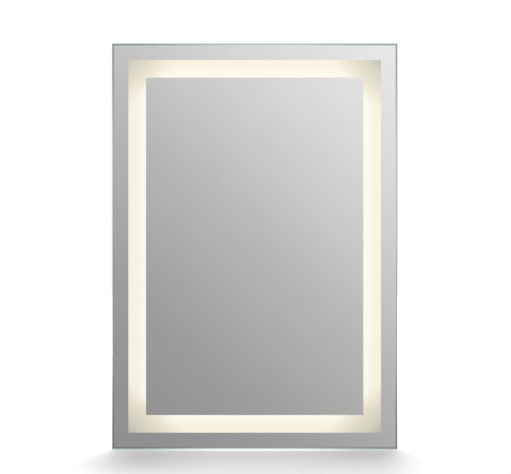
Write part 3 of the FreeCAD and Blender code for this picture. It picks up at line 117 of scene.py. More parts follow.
class NodeSheet:
    """Node tree that is filled one node at a time."""

    def __init__(self, owner: bpy.types.Material | bpy.types.World) -> None:
        """Empty the owner's node tree and read its coordinates.

        Args:
            owner: Material or surroundings that holds the tree.
        """
        owner.use_nodes = True
        self.tree = owner.node_tree
        self.tree.nodes.clear()
        self.coords = self.add("ShaderNodeTexCoord")
        self.place = self.coords.outputs["Object"]

    def add(self, kind: str, settings: Mapping[str, object] | None = None,
            **inputs: object) -> bpy.types.Node:
        """Add a node.

        Args:
            kind: Node type.
            settings: Properties of the node itself.
            **inputs: Values or sockets for its inputs, with _ for a space.

        Returns:
            The new node.
        """
        node = self.tree.nodes.new(kind)
        for key, value in (settings or {}).items():
            setattr(node, key, value)
        for key, value in inputs.items():
            self.feed(node.inputs[key.replace("_", " ")], value)
        return node

    def feed(self, socket: Socket, value: object) -> None:
        """Give an input a socket to follow or a plain value.

        Args:
            socket: The input.
            value: Socket, number or tuple.
        """
        if isinstance(value, bpy.types.NodeSocket):
            self.join(value, socket)
        elif isinstance(value, tuple) and socket.type == "RGBA":
            socket.default_value = (*value, 1.0)
        else:
            socket.default_value = value

    def join(self, source: Socket, target: Socket) -> None:
        """Link two sockets."""
        self.tree.links.new(source, target)

    def vectors(self, operation: str, *values: object) -> bpy.types.Node:
        """Vector arithmetic.

        Args:
            operation: Vector node operation.
            *values: Vectors or their sockets.

        Returns:
            The node.
        """
        node = self.add("ShaderNodeVectorMath", {"operation": operation})
        for socket, value in zip(node.inputs, values):
            self.feed(socket, value)
        return node

    def noise(self, per_metre: float, detail: float = 2.0,
              grain: Grain = Grain.EVEN, rough: float = 0.5) -> Socket:
        """Soft noise over the surface.

        Args:
            per_metre: Features in a metre.
            detail: Levels of finer noise.
            grain: Direction of the streaks.
            rough: Strength of the finer levels.

        Returns:
            Socket from 0 to 1.
        """
        stretched = self.vectors("MULTIPLY", self.place, grain.value)
        node = self.add("ShaderNodeTexNoise", Vector=stretched.outputs["Vector"],
                        Scale=per_metre, Detail=detail, Roughness=rough)
        return node.outputs["Fac"]

    def span(self, value: Socket, low: float, high: float,
             reach: Reach = FULL_REACH, smooth: bool = False) -> Socket:
        """Map a value from one range to another, held at both ends.

        Args:
            value: Value to map.
            low: Result at the start of the range.
            high: Result at the end of the range.
            reach: Start and end of the range.
            smooth: True for an eased change.

        Returns:
            Socket of the result.
        """
        how = "SMOOTHSTEP" if smooth else "LINEAR"
        node = self.add("ShaderNodeMapRange", {"interpolation_type": how},
                        Value=value, From_Min=reach[0], From_Max=reach[1],
                        To_Min=low, To_Max=high)
        return node.outputs["Result"]

    def spread(self, noise: Socket, low: float = 0.0, high: float = 1.0) -> Socket:
        """Return a noise with its usual range mapped to two values."""
        return self.span(noise, low, high, NOISE_REACH)

    def rise(self, value: Socket, reach: Reach) -> Socket:
        """Return an eased change from 0 to 1 over a reach of a value."""
        return self.span(value, 0.0, 1.0, reach, smooth=True)

    def fall(self, value: Socket, reach: Reach) -> Socket:
        """Return an eased change from 1 to 0 over a reach of a value."""
        return self.span(value, 1.0, 0.0, reach, smooth=True)

    def sums(self, operation: str, first: object, *others: object) -> Socket:
        """Arithmetic on numbers, from the first to the last.

        Args:
            operation: Math node operation.
            first: First value or socket.
            *others: Further values or sockets.

        Returns:
            Socket of the result.
        """
        for other in others:
            node = self.add("ShaderNodeMath", {"operation": operation})
            self.feed(node.inputs[0], first)
            self.feed(node.inputs[1], other)
            first = node.outputs["Value"]
        return first

    def blend(self, share: object, low: object, high: object) -> Socket:
        """Mix two colours.

        Args:
            share: Share of the second colour.
            low: First colour or socket.
            high: Second colour or socket.

        Returns:
            Colour socket.
        """
        node = self.add("ShaderNodeMix", {"data_type": "RGBA"})
        self.feed(node.inputs["Factor"], share)
        inputs = [socket for socket in node.inputs if socket.type == "RGBA"]
        self.feed(inputs[0], low)
        self.feed(inputs[1], high)
        return next(socket for socket in node.outputs if socket.type == "RGBA")

    def mottled(self, noise: Socket, colour: Colour, share: float) -> Socket:
        """Return a colour that dims to a share of itself where a noise is low."""
        return self.blend(self.spread(noise), shade(colour, share), colour)

    def marked(self, base: Socket, mark: Colour, noise: Socket, share: float,
               reach: Reach = FULL_REACH) -> Socket:
        """Lay marks over a colour where a noise is low.

        Args:
            base: Colour socket that the marks lie on.
            mark: Colour of the marks.
            noise: Noise that they follow.
            share: Strength of the marks.
            reach: Noise at which they are full, and at which they end.

        Returns:
            Colour socket.
        """
        return self.blend(self.span(noise, share, 0.0, reach), base, mark)

    def graded(self, value: Socket, stops: Sequence[tuple[float, Colour]]) -> Socket:
        """Colour that follows a value through a row of stops.

        Args:
            value: Value to read.
            stops: Values and their colours, in rising order.

        Returns:
            Colour socket.
        """
        first, last = stops[0][0], stops[-1][0]
        node = self.add("ShaderNodeValToRGB",
                        Fac=self.span(value, 0.0, 1.0, (first, last)))
        steps = node.color_ramp.elements
        while len(steps) < len(stops):
            steps.new(1.0)
        for step, (place, colour) in zip(steps, stops):
            step.position = (place - first) / (last - first)
            step.color = (*colour, 1.0)
        return node.outputs["Color"]

    def bump(self, height: Socket, depth: float, strength: float = 0.5,
             under: Socket | None = None) -> Socket:
        """Normal of a relief.

        Args:
            height: Relief from 0 to 1.
            depth: Height of the relief in metres.
            strength: Share of the relief that shows.
            under: Normal that it lies on.

        Returns:
            Normal socket.
        """
        node = self.add("ShaderNodeBump", Height=height, Distance=depth,
                        Strength=strength)
        if under is not None:
            self.feed(node.inputs["Normal"], under)
        return node.outputs["Normal"]

    def eased(self, radius: float) -> Socket:
        """Return the normal that rounds sharp edges so that they catch light."""
        node = self.add("ShaderNodeBevel", {"samples": 4}, Radius=radius)
        return node.outputs["Normal"]

    def axes(self, vector: Socket) -> tuple[Socket, Socket, Socket]:
        """Return the three numbers of a vector."""
        node = self.add("ShaderNodeSeparateXYZ", Vector=vector)
        return node.outputs["X"], node.outputs["Y"], node.outputs["Z"]

    def unsigned(self, value: Socket) -> Socket:
        """Return a number without its sign."""
        node = self.add("ShaderNodeMath", {"operation": "ABSOLUTE"}, Value=value)
        return node.outputs["Value"]

    def inside(self, half_w: float, half_h: float) -> tuple[Socket, Socket]:
        """Distances inside an upright rectangle that shares the pane's middle.

        Args:
            half_w: Half of its width.
            half_h: Half of its height.

        Returns:
            Sockets of the distance from its nearer side and nearer end.
        """
        x, _, z = self.axes(self.place)
        level = self.sums("SUBTRACT", z, PANE_MIDDLE)
        return (self.sums("SUBTRACT", half_w, self.unsigned(x)),
                self.sums("SUBTRACT", half_h, self.unsigned(level)))


class MaterialSheet(NodeSheet):
    """Node tree of a material with one Principled shader."""

    def __init__(self, name: str) -> None:
        """Start the material.

        Args:
            name: Name of the new material.
        """
        self.material = bpy.data.materials.new(name)
        super().__init__(self.material)
        self.shader = self.add("ShaderNodeBsdfPrincipled")
        self.output = self.add("ShaderNodeOutputMaterial")
        self.join(self.shader.outputs["BSDF"], self.output.inputs["Surface"])

    def surface(self, **inputs: object) -> None:
        """Set inputs of the Principled shader.

        Args:
            **inputs: Values or sockets by input name, with _ for a space.
        """
        for key, value in inputs.items():
            self.feed(self.shader.inputs[key.replace("_", " ")], value)


@dataclass(frozen=True)
class Finish:
    """Surface finish that makes one node material."""

    name: str

    def material(self) -> bpy.types.Material:
        """Material of this finish, made on first use.

        Returns:
            The material.
        """
        made = bpy.data.materials.get(self.name)
        if made is None:
            sheet = MaterialSheet(self.name)
            self.paint(sheet)
            made = sheet.material
        return made

    def paint(self, sheet: MaterialSheet) -> None:
        """Fill the material's nodes.

        Args:
            sheet: Node tree to fill.
        """
        raise NotImplementedError


@dataclass(frozen=True)
class PowderCoat(Finish):
    """Baked powder paint on sheet steel, with fine orange peel."""

    colour: Colour = (0.78, 0.78, 0.765)
    mottle_per_metre: float = 60.0
    mottle_shade: float = 0.965
    handled_per_metre: float = 7.0
    handled_shade: float = 0.93
    handled_share: float = 0.5
    handled_reach: Reach = (0.3, 0.55)
    handled_rough: Reach = (0.38, 0.56)
    speck_per_metre: float = 3100.0
    speck_shade: float = 0.80
    speck_share: float = 0.35
    speck_reach: Reach = (0.28, 0.45)
    speck_depth: float = 0.04 * MM
    peel_per_metre: float = 620.0
    peel_depth: float = 0.10 * MM
    edge: float = 0.4 * MM

    def paint(self, sheet: MaterialSheet) -> None:
        """Peel, faint mottling and handling marks in the gloss.

        Args:
            sheet: Node tree to fill.
        """
        mottle = sheet.noise(self.mottle_per_metre, detail=3.0)
        handled = sheet.noise(self.handled_per_metre, detail=5.0, rough=0.6)
        specks = sheet.noise(self.speck_per_metre, detail=1.0)
        base = sheet.mottled(mottle, self.colour, self.mottle_shade)
        aged = sheet.marked(base, shade(self.colour, self.handled_shade), handled,
                            self.handled_share, self.handled_reach)
        speckled = sheet.marked(aged, shade(self.colour, self.speck_shade), specks,
                                self.speck_share, self.speck_reach)
        peel = sheet.bump(sheet.noise(self.peel_per_metre), self.peel_depth,
                          under=sheet.eased(self.edge))
        sheet.surface(Base_Color=speckled, Specular_IOR_Level=0.45,
                      Roughness=sheet.spread(handled, *self.handled_rough),
                      Normal=sheet.bump(specks, self.speck_depth, under=peel))


@dataclass(frozen=True)
class ZincPlate(Finish):
    """Bright zinc over rolled steel, streaked along the rolling direction."""

    grain: Grain = Grain.LEVEL
    colour: Colour = (0.65, 0.68, 0.71)
    rough: float = 0.24
    warm: Colour = (1.03, 1.0, 0.95)
    cool: Colour = (0.97, 1.0, 1.03)
    tint_per_metre: float = 22.0
    tint_reach: Reach = (0.35, 0.65)
    patch_per_metre: float = 60.0
    patch_rough: float = 0.16
    streak_per_metre: float = 1400.0
    streak_shade: float = 0.72
    streak_share: float = 0.25
    streak_reach: Reach = (0.3, 0.6)
    streak_rough: Reach = (-0.05, 0.08)
    streak_depth: float = 0.015 * MM
    edge: float = 0.25 * MM

    def paint(self, sheet: MaterialSheet) -> None:
        """Streaks, passivation tints and soft handling marks.

        Args:
            sheet: Node tree to fill.
        """
        tint = sheet.noise(self.tint_per_metre, detail=3.0)
        patch = sheet.noise(self.patch_per_metre, detail=4.0, rough=0.65)
        streak = sheet.noise(self.streak_per_metre, detail=3.0, grain=self.grain,
                             rough=0.7)
        base = sheet.blend(sheet.span(tint, 0.0, 1.0, self.tint_reach),
                           tinted(self.colour, self.warm), tinted(self.colour, self.cool))
        lined = sheet.marked(base, shade(self.colour, self.streak_shade), streak,
                             self.streak_share, self.streak_reach)
        rough = sheet.sums("ADD", sheet.spread(streak, *self.streak_rough),
                           sheet.spread(patch, self.rough, self.rough + self.patch_rough))
        sheet.surface(Base_Color=lined, Metallic=1.0, Roughness=rough,
                      Normal=sheet.bump(streak, self.streak_depth,
                                        under=sheet.eased(self.edge)))


@dataclass(frozen=True)
class Anodised(Finish):
    """Satin anodised aluminium extrusion with die lines along its length."""

    grain: Grain = Grain.LEVEL
    colour: Colour = (0.72, 0.73, 0.745)
    line_per_metre: float = 2600.0
    line_shade: float = 0.84
    line_depth: float = 0.04 * MM
    etch_per_metre: float = 3000.0
    etch_depth: float = 0.02 * MM
    rub_per_metre: float = 35.0
    rub_shade: float = 0.75
    rub_share: float = 0.25
    rub_reach: Reach = (0.35, 0.55)
    rub_rough: Reach = (0.30, 0.42)
    edge: float = 0.35 * MM

    def paint(self, sheet: MaterialSheet) -> None:
        """Die lines, a soft matte etch and faint rub marks.

        Args:
            sheet: Node tree to fill.
        """
        line = sheet.noise(self.line_per_metre, detail=4.0, grain=self.grain,
                           rough=0.75)
        etch = sheet.noise(self.etch_per_metre, detail=1.0)
        rub = sheet.noise(self.rub_per_metre, detail=4.0, rough=0.6)
        lined = sheet.mottled(line, self.colour, self.line_shade)
        rubbed = sheet.marked(lined, shade(self.colour, self.rub_shade), rub,
                              self.rub_share, self.rub_reach)
        lines = sheet.bump(line, self.line_depth, strength=0.6,
                           under=sheet.eased(self.edge))
        sheet.surface(Base_Color=rubbed, Metallic=1.0,
                      Roughness=sheet.spread(rub, *self.rub_rough),
                      Normal=sheet.bump(etch, self.etch_depth, under=lines))


@dataclass(frozen=True)
class Moulded(Finish):
    """Injection moulded plastic or rubber with a spark eroded skin."""

    colour: Colour = (0.78, 0.78, 0.75)
    rough: float = 0.45
    skin_per_metre: float = 1800.0
    skin_depth: float = 0.06 * MM
    flow_per_metre: float = 45.0
    flow_shade: float = 0.88
    dust_per_metre: float = 260.0
    dust_grey: float = 0.5
    dust_pale: float = 0.1
    dust_share: float = 0.4
    dust_reach: Reach = (0.52, 0.75)
    dust_rough: Reach = (-0.06, 0.10)
    edge: float = 0.3 * MM

    def paint(self, sheet: MaterialSheet) -> None:
        """Fine skin, flow marks and handling dust.

        Args:
            sheet: Node tree to fill.
        """
        flow = sheet.noise(self.flow_per_metre, detail=3.0)
        dust = sheet.noise(self.dust_per_metre, detail=4.0, rough=0.7)
        pale = tuple(value + self.dust_pale * (self.dust_grey - value)
                     for value in self.colour)
        base = sheet.mottled(flow, self.colour, self.flow_shade)
        dusty = sheet.blend(sheet.span(dust, 0.0, self.dust_share, self.dust_reach),
                            base, pale)
        skin = sheet.bump(sheet.noise(self.skin_per_metre), self.skin_depth,
                          strength=0.6, under=sheet.eased(self.edge))
        low, high = self.dust_rough
        sheet.surface(Base_Color=dusty, Specular_IOR_Level=0.5, Normal=skin,
                      Roughness=sheet.spread(dust, self.rough + low, self.rough + high))


@dataclass(frozen=True)
class CircuitBoard(Finish):
    """Solder mask over etched copper tracks."""

    mask: Colour = (0.02, 0.16, 0.07)
    track: Colour = (0.05, 0.27, 0.12)
    track_per_metre: float = 330.0
    track_depth: float = 0.04 * MM
    weave_per_metre: float = 1500.0
    weave_shade: float = 0.6
    weave_share: float = 0.25
    weave_rough: Reach = (0.30, 0.42)

    def paint(self, sheet: MaterialSheet) -> None:
        """Tracks under the mask, with a slight relief.

        Args:
            sheet: Node tree to fill.
        """
        tracks = sheet.add("ShaderNodeTexBrick", Vector=sheet.place, Color1=self.mask,
                           Color2=self.mask, Mortar=self.track, Mortar_Size=0.035,
                           Mortar_Smooth=0.2, Scale=self.track_per_metre).outputs
        weave = sheet.noise(self.weave_per_metre)
        woven = sheet.blend(sheet.spread(weave, 0.0, self.weave_share),
                            tracks["Color"], shade(self.mask, self.weave_shade))
        sheet.surface(Base_Color=woven, Coat_Weight=0.4, Coat_Roughness=0.2,
                      Roughness=sheet.spread(weave, *self.weave_rough),
                      Normal=sheet.bump(tracks["Fac"], self.track_depth, strength=0.6))


@dataclass(frozen=True)
class Foam(Finish):
    """Closed cell foam of a double sided tape."""

    colour: Colour = (0.70, 0.70, 0.67)
    cells_per_metre: float = 2400.0
    cell_depth: float = 0.2 * MM
    cell_rough: Reach = (0.95, 0.8)
    pore_shade: float = 0.65
    pore_reach: Reach = (0.15, 0.55)

    def paint(self, sheet: MaterialSheet) -> None:
        """Cells with darker pores.

        Args:
            sheet: Node tree to fill.
        """
        cell = sheet.add("ShaderNodeTexVoronoi", Vector=sheet.place,
                         Scale=self.cells_per_metre).outputs["Distance"]
        base = sheet.blend(sheet.span(cell, 0.0, 1.0, self.pore_reach),
                           shade(self.colour, self.pore_shade), self.colour)
        sheet.surface(Base_Color=base, Roughness=sheet.span(cell, *self.cell_rough),
                      Normal=sheet.bump(cell, self.cell_depth, strength=0.7))


@dataclass(frozen=True)
class TinnedCopper(Finish):
    """Tinned copper, with the copper showing where it was pressed."""

    tin: Colour = (0.74, 0.72, 0.68)
    copper: Colour = (0.80, 0.50, 0.32)
    worn_per_metre: float = 700.0
    worn_depth: float = 0.04 * MM
    worn_reach: Reach = (0.48, 0.7)
    worn_rough: Reach = (0.22, 0.45)

    def paint(self, sheet: MaterialSheet) -> None:
        """Tin with warm worn patches.

        Args:
            sheet: Node tree to fill.
        """
        worn = sheet.noise(self.worn_per_metre, detail=4.0, rough=0.6)
        base = sheet.blend(sheet.span(worn, 0.0, 1.0, self.worn_reach),
                           self.tin, self.copper)
        sheet.surface(Base_Color=base, Metallic=1.0,
                      Roughness=sheet.span(worn, *self.worn_rough),
                      Normal=sheet.bump(worn, self.worn_depth))


@dataclass(frozen=True)
class Phosphor(Finish):
    """Lit phosphor of the light chips."""

    powder_colour: Colour = (0.85, 0.70, 0.25)
    dim: Colour = (0.95, 0.70, 0.30)
    bright: Colour = (1.0, 0.86, 0.52)
    powder_per_metre: float = 5200.0
    powder_rough: Reach = (0.35, 0.55)

    def paint(self, sheet: MaterialSheet) -> None:
        """Warm glow with a fine powder grain.

        Args:
            sheet: Node tree to fill.
        """
        powder = sheet.noise(self.powder_per_metre)
        glow = sheet.blend(sheet.spread(powder), self.dim, self.bright)
        sheet.surface(Base_Color=self.powder_colour, Emission_Color=glow,
                      Emission_Strength=1.0,
                      Roughness=sheet.span(powder, *self.powder_rough))


@dataclass(frozen=True)
class SilverLayer(Finish):
    """Silver seen through the pane, with backing paint on the rear."""

    backing: Colour = (0.33, 0.36, 0.37)
    silver: Colour = (0.955, 0.95, 0.952)
    # Painted green edge glow by the pane's edge, and the painted shade of the corners.
    edge_tint_and_glow: Colour = (0.86, 0.98, 0.92)
    corner: Colour = (0.74, 0.82, 0.78)
    rim_reach: Reach = (3.5 * MM, 7.0 * MM)
    rear_reach: Reach = (-0.6, -0.4)
    roller_per_metre: float = 500.0
    roller_shade: float = 0.85
    roller_rough: Reach = (0.35, 0.5)
    haze_per_metre: float = 11.0
    haze_shade: float = 0.99

    def paint(self, sheet: MaterialSheet) -> None:
        """Mirror in front, and paint behind.

        By the pane's edge the mirror is greener, with painted edge glow that painted
        shade darkens towards the corners.

        Args:
            sheet: Node tree to fill.
        """
        _, facing, _ = sheet.axes(sheet.coords.outputs["Normal"])
        rear = sheet.span(facing, 0.0, 1.0, self.rear_reach)
        roller = sheet.noise(self.roller_per_metre, detail=3.0, grain=Grain.LEVEL)
        coat = sheet.mottled(roller, self.backing, self.roller_shade)
        bright = sheet.mottled(sheet.noise(self.haze_per_metre), self.silver,
                               self.haze_shade)
        # Near the pane's edge: painted edge glow, darkened by painted shade towards the
        # corners.
        inside = sheet.inside(PANE_HALF_W, PANE_HALF_H)
        edge_tint_and_glow = sheet.blend(sheet.fall(sheet.sums("MAXIMUM", *inside), CORNER_SHADE),
                          self.edge_tint_and_glow, self.corner)
        near = sheet.fall(sheet.sums("MINIMUM", *inside), self.rim_reach)
        front = sheet.blend(near, bright, edge_tint_and_glow)
        rough = sheet.sums("MULTIPLY", rear, sheet.span(roller, *self.roller_rough))
        sheet.surface(Base_Color=sheet.blend(rear, front, coat),
                      Metallic=sheet.sums("SUBTRACT", 1.0, rear), Roughness=rough)


@dataclass(frozen=True)
class FrostedBand(Finish):
    """Sandblasted and filmed band, lit from behind and dimmer in its corners.

    Its light follows one distance: the longer way from the band's outer lines, plus a
    share of the shorter way, less a delay along the lower run and up the right run.
    """

    half_width: float = 313.8 * MM
    half_height: float = 463.05 * MM
    short_share: float = 0.9
    lower_delay: float = 18.0 * MM
    lower_reach: Reach = (PANE_MIDDLE - 0.44, PANE_MIDDLE - 0.30)
    right_delay: float = 13.0 * MM
    right_reach: Reach = (0.16, 0.26)
    right_height: Reach = (PANE_MIDDLE - 0.4, PANE_MIDDLE)
    right_foot: float = 0.3
    tones: tuple[tuple[float, Screen], ...] = (
        (-10.0, (185, 184, 166)), (0.0, (194, 192, 174)), (13.0, (207, 204, 187)),
        (32.0, (214, 210, 190)), (46.0, (221, 214, 195)), (60.0, (227, 219, 200)),
        (72.0, (232, 224, 205)), (86.0, (238, 230, 211)), (108.0, (246, 238, 220)),
        (135.0, (250, 243, 225)))
    inner_tone: Screen = (254, 251, 240)
    inner_along: Reach = (90.0 * MM, 130.0 * MM)
    inner_across: Reach = (14.0 * MM, 42.0 * MM)
    gain: float = 0.985
    frost: Colour = (0.20, 0.20, 0.19)
    grit_per_metre: float = 900.0
    grit_share: float = 0.03
    grit_rough: Reach = (0.75, 0.9)
    grit_depth: float = 0.04 * MM

    def distances(self, sheet: MaterialSheet) -> tuple[Socket, Socket]:
        """Distances that the light follows.

        Args:
            sheet: Node tree to fill.

        Returns:
            Sockets of the shorter way and of the distance along the band.
        """
        inside = sheet.inside(self.half_width, self.half_height)
        across = sheet.sums("MINIMUM", *inside)
        x, _, z = sheet.axes(sheet.place)
        lower = sheet.span(z, self.lower_delay, 0.0, self.lower_reach, smooth=True)
        right = sheet.sums("MULTIPLY", self.right_delay, sheet.rise(x, self.right_reach),
                           sheet.span(z, self.right_foot, 1.0, self.right_height))
        along = sheet.sums("ADD", sheet.sums("MAXIMUM", *inside),
                           sheet.sums("MULTIPLY", across, self.short_share))
        return across, sheet.sums("SUBTRACT", along, lower, right)

    def paint(self, sheet: MaterialSheet) -> None:
        """Warm light that falls off into each corner.

        Args:
            sheet: Node tree to fill.
        """
        across, along = self.distances(sheet)
        light = sheet.graded(along, [(place * MM, shade(tone(screen), self.gain))
                                     for place, screen in self.tones])
        inner = sheet.sums("MULTIPLY", sheet.rise(along, self.inner_along),
                           sheet.rise(across, self.inner_across))
        light = sheet.blend(inner, light, shade(tone(self.inner_tone), self.gain))
        grit = sheet.noise(self.grit_per_metre, detail=3.0)
        sheet.surface(Base_Color=self.frost, Emission_Strength=1.0,
                      Emission_Color=sheet.marked(light, BLACK, grit, self.grit_share),
                      Roughness=sheet.span(grit, *self.grit_rough),
                      Normal=sheet.bump(grit, self.grit_depth, strength=0.4))


@dataclass(frozen=True)
class FloatGlass(Finish):
    """Clear float glass, darker and greener towards the pane's corners.

    The tint lies where the pane's outline is nearer than the tint's reach. On the clear
    faces it is painted edge glow, and towards the corners painted shade darkens it.
    """

    colour: Colour = (0.997, 0.998, 0.997)
    # Colour of the painted shade in the pane's corners.
    corner: Colour = (0.20, 0.30, 0.27)
    # Tint by the outline; on the clear faces it is painted edge glow.
    tint: Colour = (0.86, 0.97, 0.92)
    tint_reach: Reach = (0.85, 1.0)
    through: float = 1.0
    drift_per_metre: float = 14.0
    drift_shade: float = 0.995
    grind_per_metre: float = 1600.0
    grind_range: float = 1.6
    rough: float = 0.0
    ripple: float = 0.0

    def paint(self, sheet: MaterialSheet) -> None:
        """Transmission with a faint drift in tint, and grinding marks if any.

        Args:
            sheet: Node tree to fill.
        """
        clear = sheet.mottled(sheet.noise(self.drift_per_metre), self.colour,
                              self.drift_shade)
        # Near the outline: the tint with its painted edge glow, darkened by painted shade
        # towards the corners.
        inside = sheet.inside(PANE_HALF_W, PANE_HALF_H)
        near = sheet.fall(sheet.sums("MAXIMUM", *inside), CORNER_SHADE)
        edge_tint_and_glow = sheet.span(sheet.sums("MINIMUM", *inside), 1.0, 0.0, self.tint_reach)
        base = sheet.blend(edge_tint_and_glow, clear, sheet.blend(near, self.tint, self.corner))
        marks = sheet.noise(self.grind_per_metre)
        sheet.surface(Base_Color=base, Transmission_Weight=self.through, IOR=1.52,
                      Roughness=sheet.span(marks, self.rough,
                                           self.rough * self.grind_range))
        if self.ripple:
            sheet.surface(Normal=sheet.bump(marks, self.ripple))


@dataclass(frozen=True)
class PaleFloor(Finish):
    """Matt pale floor, with the light and shade that the mirror gives it.

    Distances ahead run from the pane's face towards the viewer, and the others run
    across the floor, to the right of the mirror's middle.
    """

    paint_range: tuple[Colour, Colour] = ((0.84, 0.84, 0.84), (0.86, 0.86, 0.86))
    weave_per_metre: float = 3.0
    glow: float = 0.262
    glow_reach: Reach = (1.3, 3.6)
    strip_start: Reach = (-1.0 * MM, 0.0)
    strip_end: Reach = (26.35 * MM, 31.0 * MM)
    strip_middle: float = 15.0 * MM
    strip_light: Reach = (0.08, 0.36)
    strip_ends: Reach = (0.0, 0.27)
    strip_colour: Colour = (0.93, 1.0, 0.94)
    spill_light: float = 0.11
    spill_ahead: Reach = (0.0, 0.42)
    spill_ends: Reach = (0.08, 0.30)
    spill_colour: Colour = (1.0, 0.99, 0.92)
    warm_share: float = 7.0
    warm_ahead: Reach = (0.0, 20.0 * MM)
    pool_ahead: Reach = (0.3, 1.1)
    right_light: float = 0.15
    right_rise: Reach = (0.29, 0.38)
    right_fall: Reach = (0.35, 1.1)
    left_light: float = 0.17
    left_rise: Reach = (-1.1, -0.5)
    left_fall: Reach = (-0.43, -0.26)
    dip_light: float = 0.115
    dip_left: float = 0.3
    dip_rise: Reach = (-0.64, -0.46)
    dip_fall: Reach = (-0.33, -0.09)
    dip_start: Reach = (0.03, 0.23)
    dip_end: Reach = (0.26, 0.44)

    def strip(self, sheet: MaterialSheet, ahead: Socket) -> Socket:
        """Return 1 on the narrow strip of floor right under the pane, and 0 off it."""
        return sheet.sums("MULTIPLY", sheet.span(ahead, 0.0, 1.0, self.strip_start),
                          sheet.span(ahead, 1.0, 0.0, self.strip_end))

    def leak(self, sheet: MaterialSheet, strip: Socket, x: Socket) -> Socket:
        """Light on the strip, weaker towards both ends.

        Args:
            sheet: Node tree to fill.
            strip: Socket that is 1 on the strip.
            x: Distance across.

        Returns:
            Socket of the light.
        """
        off_middle = sheet.unsigned(sheet.sums("SUBTRACT", x, self.strip_middle))
        within = sheet.sums("SUBTRACT", PANE_HALF_W, off_middle)
        return sheet.sums("MULTIPLY", strip,
                          sheet.span(within, *self.strip_light, self.strip_ends,
                                     smooth=True))

    def pools(self, sheet: MaterialSheet, ahead: Socket, x: Socket) -> Socket:
        """Light at both sides of the shadow, less the shade at its left front.

        Args:
            sheet: Node tree to fill.
            ahead: Distance ahead of the pane.
            x: Distance across.

        Returns:
            Socket of the light.
        """
        right = sheet.sums("MULTIPLY", self.right_light, sheet.rise(x, self.right_rise),
                           sheet.fall(x, self.right_fall))
        left = sheet.sums("MULTIPLY", self.left_light, sheet.rise(x, self.left_rise),
                          sheet.fall(x, self.left_fall))
        both = sheet.sums("MULTIPLY", sheet.sums("ADD", left, right),
                          sheet.fall(ahead, self.pool_ahead))
        dip = sheet.sums("MULTIPLY", self.dip_light, sheet.rise(x, self.dip_rise),
                         sheet.fall(x, self.dip_fall), sheet.rise(ahead, self.dip_start),
                         sheet.span(ahead, 1.0, self.dip_left, self.dip_end,
                                    smooth=True))
        return sheet.sums("SUBTRACT", both, dip)

    def paint(self, sheet: MaterialSheet) -> None:
        """Matt paint, with a glow for the rays that see the floor.

        Args:
            sheet: Node tree to fill.
        """
        x, y, _ = sheet.axes(sheet.place)
        ahead = sheet.sums("SUBTRACT", PANE_FRONT, y)
        ends = sheet.sums("SUBTRACT", PANE_HALF_W, sheet.unsigned(x))
        strip = self.strip(sheet, ahead)
        spill = sheet.sums("MULTIPLY", self.spill_light,
                           sheet.fall(ahead, self.spill_ahead),
                           sheet.rise(ends, self.spill_ends))
        far = sheet.span(sheet.vectors("LENGTH", sheet.place).outputs["Value"],
                         self.glow, 1.0, self.glow_reach, smooth=True)
        path = sheet.add("ShaderNodeLightPath").outputs
        seen = sheet.sums("MAXIMUM", path["Is Camera Ray"], path["Is Glossy Ray"],
                          path["Is Transmission Ray"])
        light = sheet.sums("ADD", far, self.leak(sheet, strip, x), spill,
                           self.pools(sheet, ahead, x))
        warmth = sheet.sums("MULTIPLY", spill, self.warm_share,
                            sheet.span(ahead, 0.0, 1.0, self.warm_ahead))
        colour = sheet.blend(strip, sheet.blend(warmth, WHITE, self.spill_colour),
                             self.strip_colour)
        glow = sheet.add("ShaderNodeEmission", Color=colour,
                         Strength=sheet.sums("MULTIPLY", seen, light))
        both = sheet.add("ShaderNodeAddShader")
        sheet.join(sheet.shader.outputs["BSDF"], both.inputs[0])
        sheet.join(glow.outputs[0], both.inputs[1])
        sheet.join(both.outputs[0], sheet.output.inputs["Surface"])
        weave = sheet.noise(self.weave_per_metre)
        sheet.surface(Base_Color=sheet.blend(weave, *self.paint_range),
                      Roughness=0.9, Specular_IOR_Level=0.1)


WHITE_COAT = PowderCoat("powder_coat_white")
ZINC_LEVEL = ZincPlate("zinc_plate_level")
ZINC_EVEN = ZincPlate("zinc_plate_screws", Grain.EVEN)
GALVANISED = ZincPlate("galvanised_box", Grain.LEVEL, (0.66, 0.68, 0.70), 0.46)
EXTRUSION_LEVEL = Anodised("anodised_level")
EXTRUSION_UPRIGHT = Anodised("anodised_upright", Grain.UPRIGHT)
CARRIER_LEVEL = Anodised("carrier_level", Grain.LEVEL, (0.70, 0.71, 0.72))
CARRIER_UPRIGHT = Anodised("carrier_upright", Grain.UPRIGHT, (0.70, 0.71, 0.72))
RUBBER = Moulded("rubber_black", (0.028, 0.028, 0.029), 0.72, 1100.0, 0.1 * MM)
BLACK_NYLON = Moulded("nylon_black", (0.035, 0.035, 0.037), 0.42)
WHITE_ABS = Moulded("abs_white", (0.76, 0.76, 0.73), 0.40)
TERMINAL_GREY = Moulded("terminal_grey", (0.30, 0.33, 0.34), 0.24, 2400.0, 0.02 * MM)
LEVER_ORANGE = Moulded("lever_orange", (0.80, 0.19, 0.015), 0.26, 2400.0, 0.02 * MM)
SLEEVE_BLACK = Moulded("sleeve_black", (0.03, 0.03, 0.032), 0.34, 900.0, 0.03 * MM)
SLEEVE_WHITE = Moulded("sleeve_white", (0.78, 0.78, 0.75), 0.34, 900.0, 0.03 * MM)
SLEEVE_GREEN = Moulded("sleeve_green", (0.02, 0.24, 0.06), 0.34, 900.0, 0.03 * MM)
LINER = Moulded("liner_white", (0.84, 0.84, 0.83), 0.6, 700.0, 0.05 * MM)
COMPONENTS = Moulded("component_black", (0.05, 0.05, 0.055), 0.45, 1500.0)
LIGHT_BOARD = CircuitBoard("light_board_white", (0.76, 0.77, 0.76), (0.83, 0.84, 0.83))
DRIVER_BOARD = CircuitBoard("driver_board_green")
TAPE = Foam("foam_tape_pale")
TIN = TinnedCopper("copper_tinned")
